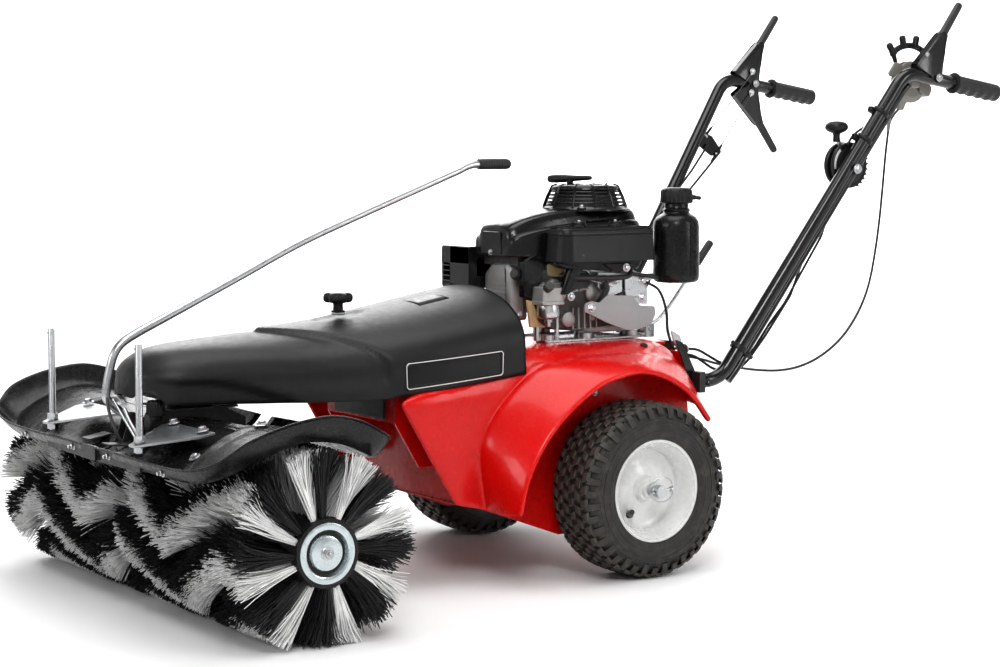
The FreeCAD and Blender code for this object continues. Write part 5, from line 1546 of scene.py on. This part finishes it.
def grips():
    """Ribbed hand grips with a flange, finger waves underneath and a closed round end."""
    along = (TUBE_END - TUBE_TOP).normalized()
    under = Vector((0, 0, -1)) - along * along.dot(Vector((0, 0, -1)))
    under.normalize()
    side_way = along.cross(under)
    for side in (1, -1):
        start = TUBE_END - along * 126
        rows = []
        for i in range(91):
            s = i * 1.44
            if s < 1.5:
                base = 15.5 + s * 4
            elif s < 4.5:
                base = 21.6
            elif s < 7:
                base = 21.6 - (s - 4.5) * 1.6
            else:
                base = 17.6
            if s > 123:
                base = 17.6 * math.sqrt(max(0.02, 1 - ((s - 123) / 7.2) ** 2))
            row = []
            for k in range(48):
                turn = 2 * math.pi * k / 48
                wave = (1.5 * math.cos(2 * math.pi * (s - 16) / 24) * max(0.0, math.cos(turn))
                        if 10 < s < 118 else 0)
                flute = 0.35 * (1 if k % 4 < 2 else -1) if 12 < s < 116 else 0
                r = base - wave + flute
                spot = start + along * s + (under * math.cos(turn) + side_way * math.sin(turn)) * r
                row.append(Vector((side * spot.x, spot.y, spot.z)))
            rows.append(row)
        shape = Shape()
        shape.add(GRIP_RUBBER, grid(rows, closed=True), (rows[-1], [list(range(48))]),
                  (rows[0], [list(range(48))]))
        name = "left_grip" if side > 0 else "right_grip"
        shape.build(name + "_sleeve", "chassis", "grip_rubber", [name], weld=True, angle=40)


LEVER_SIDE = [(-50, 23), (-47, 28), (16, 90), (25, 94), (34, 88), (24, 64), (16, 28), (13, 0), (6, -10),
              (-8, -10), (-14, 2)]


def lever_spread(y, z):
    """Share of the full width: narrow along the front edge, wide where the cheeks straddle the tube."""
    front = -47 + (z - 28) * 65 / 62
    return 0.5 + 0.5 * min(1.0, max(0.0, (y - front) / 45))


def hand_lever(side, up, body, node, slot):
    """Folded sheet lever: two cheeks, joined along the front edge, on a bar with a rubber sleeve."""
    py, pz = PIVOT.y, PIVOT.z
    outline = rounded([(py + y, pz + z * up) for y, z in LEVER_SIDE], [3, 5, 5, 4, 5, 14, 14, 10, 6, 6, 14],
                      5)
    wide = 18.2 if up > 0 else 15.0
    shape = Shape()
    for x in (285 - wide, 285 + wide - 2.6):
        shape.add(BLACK_PAINT, stack(outline, "x", [(x, 0.5), (x + 0.4, 0), (x + 2.2, 0), (x + 2.6, 0.5)]))
    web = [(py - 47, pz + 28 * up), (py + 18, pz + 90 * up)]
    normal = Vector((0, -(web[1][1] - web[0][1]), web[1][0] - web[0][0])).normalized() * up
    low, high = [], []
    for k in range(7):
        spot = Vector((0, *web[0])).lerp(Vector((0, *web[1])), k / 6)
        for x in (285 - wide, 285 + wide):
            low.append(Vector((x, spot.y, spot.z)))
            high.append(Vector((x, spot.y, spot.z)) - normal * 2.4)
    faces = []
    for k in range(6):
        a = 2 * k
        faces += [[a, a + 1, a + 3, a + 2], [a + 16, a + 17, a + 15, a + 14], [a, a + 2, a + 16, a + 14],
                  [a + 1, a + 15, a + 17, a + 3]]
    faces += [[0, 14, 15, 1], [12, 13, 27, 26]]
    shape.add(BLACK_PAINT, (low + high, faces))
    shape.verts = [(285 + (x - 285) * lever_spread(y - py, (z - pz) * up), y, z) for x, y, z in shape.verts]
    if side < 0:
        shape.verts = [(-x, y, z) for x, y, z in shape.verts]
        shape.faces = [face[::-1] for face in shape.faces]
    shape.build(node + "_plate", body, slot, [node], bevel=0.6, angle=34)
    sleeve = Shape()
    start, end = Vector((side * 285, py + 25, pz + 82 * up)), Vector((side * 285, py + 77, pz + 152 * up))
    size = (end - start).length
    sleeve.add(GRIP_RUBBER, lathe([(6, 0), (9.6, 0.5), (10.2, 2.5), (10.0, 8), (9.0, 11), (8.5, size * 0.5),
                                   (8.1, size - 8), (7.2, size - 3),
                                   (5.2, size - 0.8), (0, size)], start, end - start, 32))
    sleeve.build(node + "_sleeve", body, "grip_rubber", angle=40)


CLEVIS = {1: (-266, -7, 27),
          -1: (-269, -7, -20)}      # x, and (y, z) from the pivot, for the upper and lower right levers
ADJUSTER = {1: (-270, 615, 843), -1: (-270, 644, 804)}


def lever_pins():
    """Clevis pins on the right levers and the small stop bolt on the left one."""
    for up, body, node in ((1, "right_clutch", "right_upper_lever"),
                           (-1, "right_brake", "right_lower_lever")):
        x, y, z = CLEVIS[up]
        eye = Shape()
        eye.add(ZINC, *bolt((x, PIVOT.y + y, PIVOT.z + z), LEFT, 9, 4, 7.5))
        eye.add(ZINC, pipe([(x - 8, PIVOT.y + y, PIVOT.z + z), (x + 5, PIVOT.y + y, PIVOT.z + z)], 3, 16))
        eye.build(node + "_pin", body, "zinc", angle=34)
    small = Shape()
    small.add(ZINC, *bolt((294.6, PIVOT.y - 22, PIVOT.z + 47), LEFT, 6, 3, 5))
    small.build("left_lever_bolt", "left_clutch", "zinc", angle=34)


def lever_wires():
    """Inner wires from the stop plate to the clevis pins, laid straight and fixed in place."""
    for up, body in ((1, "right_clutch"), (-1, "right_brake")):
        x, y, z = CLEVIS[up]
        start, end = Vector(ADJUSTER[up]), Vector((x + 4, PIVOT.y + y, PIVOT.z + z))
        way = (end - start).normalized()
        wire = Shape()
        wire.add(IRON, pipe([start.lerp(end, k / 40) for k in range(41)], 1.2, 8))
        wire.add(ZINC, lathe([(0, -12), (1.6, -11), (1.8, -5), (2.8, -4), (2.8, 3), (0, 4)], end, way, 16))
        name = "upper" if up > 0 else "lower"
        piece = wire.build(name + "_lever_wire", None, "zinc", angle=40)
        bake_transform(piece)
        barrel = Shape()
        barrel.add(SATIN_PLASTIC, lathe([(0, -46), (3.6, -46), (3.6, -30), (4.4, -29), (4.4, -18),
                                         (3.2, -16), (3.0, -4), (1.4, 3), (0, 3)], start, way, 20))
        barrel.add(ZINC, lathe([(0, -27), (6, -27), (6, -23), (0, -23)], start, way, 6))
        barrel.build(name + "_cable_adjuster", "chassis", "black_plastic", angle=34)


def levers():
    hand_lever(1, 1, "left_clutch", "left_lever", "black_paint")
    hand_lever(-1, 1, "right_clutch", "right_upper_lever", "black_paint")
    hand_lever(-1, -1, "right_brake", "right_lower_lever", "black_paint")
    heads = Shape()
    for side in (1, -1):
        for way in (1, -1):
            heads.add(ZINC, *bolt((side * 285 + way * 22.6, PIVOT.y, PIVOT.z), (way, 0, 0), 10, 4.5, 8))
        heads.add(ZINC, pipe([(side * 285 - 24, PIVOT.y, PIVOT.z), (side * 285 + 24, PIVOT.y, PIVOT.z)], 4,
                             16))
    heads.build("lever_pivots", "chassis", "zinc", ["pivot_bolts"], angle=30)
    lever_pins()
    lever_wires()


def throttle_case():
    """Round throttle case with its slot, pale scale, ribbed rear edge, lever and oval knob."""
    q = Vector((229, 556, 765))
    shape = Shape()
    for x0, x1 in ((214, 224), (234, 244)):
        shape.add(SATIN_PLASTIC, lathe([(0, 0), (44, 0), (46, 2), (46, x1 - x0 - 2), (44, x1 - x0),
                                        (0, x1 - x0)], (x0, q.y, q.z), LEFT, 72))
    shape.add(SATIN_PLASTIC, lathe([(0, 0), (34, 0), (34, 12), (0, 12)], (223, q.y, q.z), LEFT, 48))
    for i in range(9):
        turn = math.radians(-62 + 13 * i)
        spot = q + Vector((0, 46 * math.cos(turn), 46 * math.sin(turn)))
        rib = block(214, 244, spot.y - 2.6, spot.y + 2.6, spot.z - 1.6, spot.z + 1.6)
        shape.add(SATIN_PLASTIC, turned(rib, spot, (1, 0, 0), math.degrees(turn)))
    shape.add(SATIN_PLASTIC, lathe([(0, 0), (36, 0), (34, 1.6), (15, 2.2), (13, 4), (0, 4)],
                                   (244, q.y, q.z), LEFT, 48))
    shape.add(BLACK_PAINT, *bolt((248, q.y, q.z), LEFT, 9, 4, 8))
    shape.build("throttle_case", "chassis", "black_plastic", ["quadrant_housing"], bevel=0.6)
    scale = Shape()
    rows = []
    for i in range(15):
        turn = math.radians(132 + 4.2 * i)
        rows.append([Vector((244.3, q.y + r * math.cos(turn), q.z + r * math.sin(turn)))
                     for r in (38, 39, 42.5, 43.5)])
    scale.add(PALE_PRINT, grid(rows))
    scale.build("throttle_scale", "chassis", "black_plastic", thick=0.4, angle=40)
    lever = Shape()
    top = Vector((q.x, q.y - 25, q.z + 62))
    along = (top - q).normalized()
    lever.add(ZINC, pipe([q + along * 8, q + along * 62], 3.2, 16, flat=1.6))
    lever.add(STEEL, lathe([(4.05, -3), (13, -3), (13, 3), (4.05, 3)], q, LEFT, 40, closed=True))
    lever.build("throttle_blade", "throttle", "zinc", angle=36)
    knob = Shape()
    knob.add(SATIN_PLASTIC, lathe([(0, -16), (6.5, -16), (7.4, -14), (7.0, -2), (8, 1), (14, 3.4),
                                   (20, 6.6), (23, 11), (23.4, 14), (22, 19), (18, 23), (10, 25.6),
                                   (0, 26.4)], top, UP, 56))
    knob.build("throttle_knob", "throttle", "black_plastic", ["quadrant_lever"], angle=60)
    clamp = Shape()
    way = Vector((0.17, 0.56, 0.81))
    for share in (0.775, 0.865):
        spot = Vector((212, 250, 350)).lerp(Vector((285, 662, 952)), share)
        clamp.add(SATIN_PLASTIC, lathe([(14.2, -4), (17, -4), (17.6, -3), (17.6, 3), (17, 4), (14.2, 4)],
                                       spot, way, 40, closed=True))
        clamp.add(SATIN_PLASTIC, stack(rounded([(spot.y - 26, spot.z + 2), (spot.y - 14, spot.z - 4),
                                                (spot.y - 10, spot.z + 6), (spot.y - 22, spot.z + 13)], 3),
                                       "x", [(spot.x - 12, 0.5), (spot.x - 11.5, 0), (spot.x - 2, 0),
                                             (spot.x - 1.5, 0.5)]))
    clamp.add(CABLE_SLEEVE, pipe(smooth([(246, 545, 806), (249, 556, 823), (252, 570, 834), (252, 588, 843),
                                         (252, 600, 858), (250, 616, 868)], 6), 2.6, 12))
    clamp.add(ZINC, *bolt((282, 540, 758), LEFT, 12, 6, 10))
    clamp.add(ZINC, pipe([(244, 540, 758), (284, 540, 758)], 4, 14))
    clamp.build("throttle_clamp", "chassis", "black_plastic", angle=36)


DIAL = local(middle("dial_crown"))
DIAL.y, DIAL.z = 716.0, 933.0


def dial_line(points):
    return [(DIAL.y + y, DIAL.z + z) for y, z in points]


def selector():
    """Grey gear-selector case in two halves round the slot, with ears, spout and rib; three flat black discs
    on the face are painted shade where its holes are.
    """
    d = DIAL
    shape = Shape()
    for foot, way in ((d.x + 4.6, 1), (d.x - 4.6, -1)):
        shape.add(DIAL_GREY, lathe([(0, 0), (42, 0), (42.4, 1), (42.2, 3.4), (40.6, 5.2), (37, 6.2),
                                    (30, 6.6), (29, 6.0), (0, 6.0)],
                                   (foot, d.y, d.z), (way, 0, 0), 96))
    arc = [math.radians(-12 - 156 * k / 24) for k in range(25)]
    low = [(-41, -6), (0, -19), (41, -6)] + [(41.4 * math.cos(t), 41.4 * math.sin(t)) for t in arc]
    shape.add(DIAL_GREY, stack(dial_line(low), "x", [(d.x - 5, 0), (d.x + 5, 0)]))
    for outline, x0, x1 in (([(-24, 8), (-42, 12), (-61, 10), (-66, 17), (-48, 40), (-28, 36)], 6, 11),
                            ([(22, 2), (50, -4), (56, -14), (47, -31), (34, -26), (18, -22)], -8, 12),
                            ([(-24, -20), (-33, -50), (-21.4, -59.2), (-8, -35), (2, -38), (10, -26)], -6,
                             8)):
        shape.add(DIAL_GREY, stack(rounded(dial_line(outline), 5, 5), "x",
                                   [(d.x + x0, 1.4), (d.x + x0 + 1.2, 0), (d.x + x1 - 1.2, 0),
                                    (d.x + x1, 1.4)]))
    shape.add(DIAL_GREY, stack(rounded(dial_line([(-26, -13), (-2, -13), (-2, 10), (-26, 10)]), 5), "x",
                               [(d.x + 10, 0), (d.x + 33, 0), (d.x + 35, 1.5)]))
    shape.add(DIAL_GREY, stack(rounded(dial_line([(4, 14), (9, 14), (9, 40), (4, 40)]), 2), "x",
                               [(d.x + 10, 0), (d.x + 12.5, 0), (d.x + 13, 0.6)]))
    shape.add(IRON, stack(rounded(dial_line([(6, -7), (13, -5), (32, -22), (22, -25)]), 2), "x",
                          [(d.x + 10, 0), (d.x + 11.2, 0), (d.x + 11.4, 0.6)]))
    # Painted shade: the face holes are not cut; flat black discs stand in for their dark insides.
    for y, z in ((-19, 15), (-11.5, 20.5), (-4, 24)):
        shape.add(BLACK_PAINT, lathe([(0, 0), (2.6, 0), (2.6, 0.6), (0, 0.6)],
                                     (d.x + 10.4, d.y + y, d.z + z), LEFT, 16))
    shape.add(DIAL_GREY, pipe([(240, 664.6, 859), (240, 662.6, 846), (239.6, 661.2, 834)], [3.0, 3.8, 3.4],
                              16))
    shape.build("selector_case", "chassis", "grey_plastic", ["dial_housing"], bevel=0.5, angle=34)
    finger_crown()


def finger_crown():
    """Chunky crown of four fingers on two bowed legs."""
    d = DIAL

    def spot(degrees, radius):
        turn = math.radians(degrees)
        return Vector((d.x, d.y + radius * math.cos(turn), d.z + radius * math.sin(turn)))

    crown = Shape()
    crown.add(SATIN_PLASTIC, pipe([spot(53 + 74 * i / 36, 74) for i in range(37)], 6.2, 20))
    for degrees in (53, 77.7, 102.3, 127):
        line = [spot(degrees, r) for r in (70, 76, 80, 84, 88, 91, 94, 95.6, 96.4)]
        crown.add(SATIN_PLASTIC, pipe(line, [8.4, 7.6, 6.9, 6.6, 6.8, 6.9, 6.0, 4.2, 1.4], 20))
    for way in (1, -1):
        line = smooth([(d.x, d.y + way * y, d.z + z) for y,
                       z in ((45, 59), (43, 54), (39, 44), (33, 30), (18, 12), (6, 2))], 4)
        sizes = [6.2 - 2.2 * min(1.0, i / 10) for i in range(len(line))]
        crown.add(SATIN_PLASTIC, pipe(line, sizes, 16))
    crown.add(SATIN_PLASTIC, lathe([(5.1, -4), (14, -4), (15, -3), (15, 3), (14, 4), (5.1, 4)],
                                   (d.x, d.y, d.z), LEFT, 40, closed=True))
    crown.build("selector_crown", "selector", "black_plastic", ["dial_crown"], angle=50)


def tubes():
    """Brace beside the left tube, cable clamps, bracket sheets and bolts."""
    brace = Shape()
    line = smooth([(214.5, 268, 343), (217.5, 290, 370), (221, 318.4, 412.7)], 8)
    line += [Vector((221, 318.4, 412.7)).lerp(Vector((281.5, 659.4, 911)), k / 4) for k in range(1, 5)]
    line += [Vector((283.6, 667, 920)), Vector((284.4, 675, 925))]
    brace.add(BLACK_PAINT, pipe(line, [6.5] * (len(line) - 1) + [5.0], 20))
    brace.build("brace_bar", "chassis", "black_paint", ["brace_rod"], angle=50)
    shape = Shape()
    for side in (1, -1):
        spot, way = Vector((side * 219.1, 290, 408.4)), Vector((side * 0.1, 0.56, 0.81))
        shape.add(SATIN_PLASTIC, lathe([(14.1, -5), (17, -5), (17.6, -4), (17.6, 4), (17, 5), (14.1, 5)],
                                       spot, way, 36, closed=True))
        shape.add(SATIN_PLASTIC, lathe([(6.6, -5), (10, -5), (10.6, -4), (10.6, 4), (10, 5), (6.6, 5)],
                                       spot + Vector((0, 17.4, -11.8)), way, 28, closed=True))
        shape.add(SATIN_PLASTIC, pipe([spot + Vector((side * 4, -19, 13)),
                                       spot + Vector((side * 4, 30, -21))], 4.0, 14))
    shape.build("cable_clamps", "chassis", "black_plastic", angle=30)
    sheet = Shape()
    outline = rounded([(150, 430), (168, 424), (196, 372), (213, 330), (200, 322), (184, 344), (172, 380)],
                      4, 4)
    for side in (1, -1):
        sheet.add(BLACK_PAINT, stack(outline, "x", [(side * 196 - 1.5, 0.3), (side * 196 - 1.2, 0),
                                                    (side * 196 + 1.2, 0), (side * 196 + 1.5, 0.3)]))
        for y, z in ((214, 344), (246, 352)):
            sheet.add(BLACK_PAINT, *bolt((side * 220, y, z), (side, 0, 0), 9, 4, 8))
    sheet.build("handle_sheets", "chassis", "black_paint", bevel=0.4)
    zinc = Shape()
    for side in (1, -1):
        for z in (340, 404):
            zinc.add(ZINC, *bolt((side * 150, 209.5, z), BACK, 12, 6, 11))
    zinc.add(ZINC, stack(rounded([(150, 447), (172, 436), (184, 396), (176, 392), (156, 424)], 3, 3), "x",
                         [(181, 0.4), (181.4, 0), (184, 0), (184.4, 0.4)]))
    zinc.build("handle_bolts", "chassis", "zinc", angle=30)


def swivel_bar():
    """Long bent zinc bar with a black sleeve on its end, and its fork and clip at the foot."""
    line = [(0, -906, 320), (0, -912, 334), (0, -936, 352), (0, -949, 366), (0, -950, 382), (0, -944, 412),
            (0, -936, 440), (0, -922, 460),
            (0, -896, 476), (0, -840, 502), (0, -700, 566), (0, -566, 628), (0, -420, 684), (0, -260, 743),
            (0, -222, 757), (0, -206, 764), (0, -190, 768),
            (0, -170, 769), (0, -108, 769)]
    shape = Shape()
    shape.add(ZINC, pipe(smooth(line, 8), 7.6, 24))
    shape.add(ZINC, lathe([(4.1, -12), (11, -12), (11, 12), (4.1, 12)], (0, -900, 320), LEFT, 40,
                          closed=True))
    shape.build("swivel_rod", "swivel_bar", "zinc", ["swivel_lever"], angle=40)
    grip = Shape()
    grip.add(GRIP_RUBBER, lathe([(7.7, 0), (9.6, 0), (10.2, 1.5), (10.2, 66), (9.4, 70), (7, 72.5),
                                 (0, 73)], (0, -178, 769), BACK, 36))
    for k in range(10):
        grip.add(GRIP_RUBBER, lathe([(9.8, -0.8), (10.9, 0), (9.8, 0.8)], (0, -170 + 6 * k, 769), BACK, 36))
    grip.build("swivel_grip", "swivel_bar", "grip_rubber", angle=34)
    fork = Shape()
    for x in (-16, 13):
        fork.add(FRAME_PAINT, stack(rounded([(-930, 286), (-884, 286), (-888, 338), (-912, 340)], 6), "x",
                                    [(x, 0.4), (x + 0.4, 0), (x + 2.6, 0), (x + 3, 0.4)]))
    fork.add(ZINC, *bolt((18, -900, 320), LEFT, 10, 5, 9), *bolt((-18, -900, 320), (-1, 0, 0), 10, 5, 9))
    strap = [(22, -958, 372), (23, -956, 350), (30, -950, 322), (40, -944, 300), (52, -940, 288)]
    fork.add(FRAME_PAINT, pipe(smooth(strap, 6), 6.5, 12, flat=0.22))
    fork.add(ZINC, pipe(smooth([(30, -930, 352), (42, -925, 330), (58, -918, 308), (66, -914, 300)], 6),
                        3.4, 14))
    fork.add(ZINC, pipe(smooth([(18, -946, 368), (34, -936, 340), (52, -926, 312), (60, -922, 300)], 6),
                        2.4, 12))
    fork.build("swivel_fork", "head", "black_paint", bevel=0.4)


def rod_fittings():
    """Nuts and washers of the upright pins on their plates, and a thin dark disc painted as shade where each
    cross-pin hole is.
    """
    shape = Shape()
    for side in (1, -1):
        foot = (side * 187, -973, 317)
        shape.add(ZINC, lathe([(6.1, 0), (9.5, 0), (9.5, 6), (8.8, 7), (6.1, 7)], foot, UP, 6, closed=True))
        shape.add(ZINC, lathe([(6.05, -13), (11, -13), (11, -11.4), (6.05, -11.4)], (side * 187, -973, 317),
                              UP, 32, closed=True))
        # Painted shade: a thin dark disc stands in for the cross-pin hole.
        for z in (470,):
            shape.add(IRON, lathe([(0, 0), (2, 0), (2, 0.3), (0, 0.3)], (side * 187, -979.2, z), (0, -1, 0),
                                  16))
    shape.build("pin_nuts", "head", "zinc", angle=30)


def handlebar():
    for part in (grips, levers, throttle_case, selector, tubes, swivel_bar, rod_fittings):
        part()


PIECES = [belt_cover, cover_badge, star_knob, body_skin, body_panels, left_wing, right_wing, wing_fasteners,
          bristles, brush_ends, wheels, engine, handlebar]


# ---------------------------------------------------------------- everything in its order

add_camera()
add_stage()
add_lights()
hanging_cable()
dress_frame()
for build in PIECES:
    build()
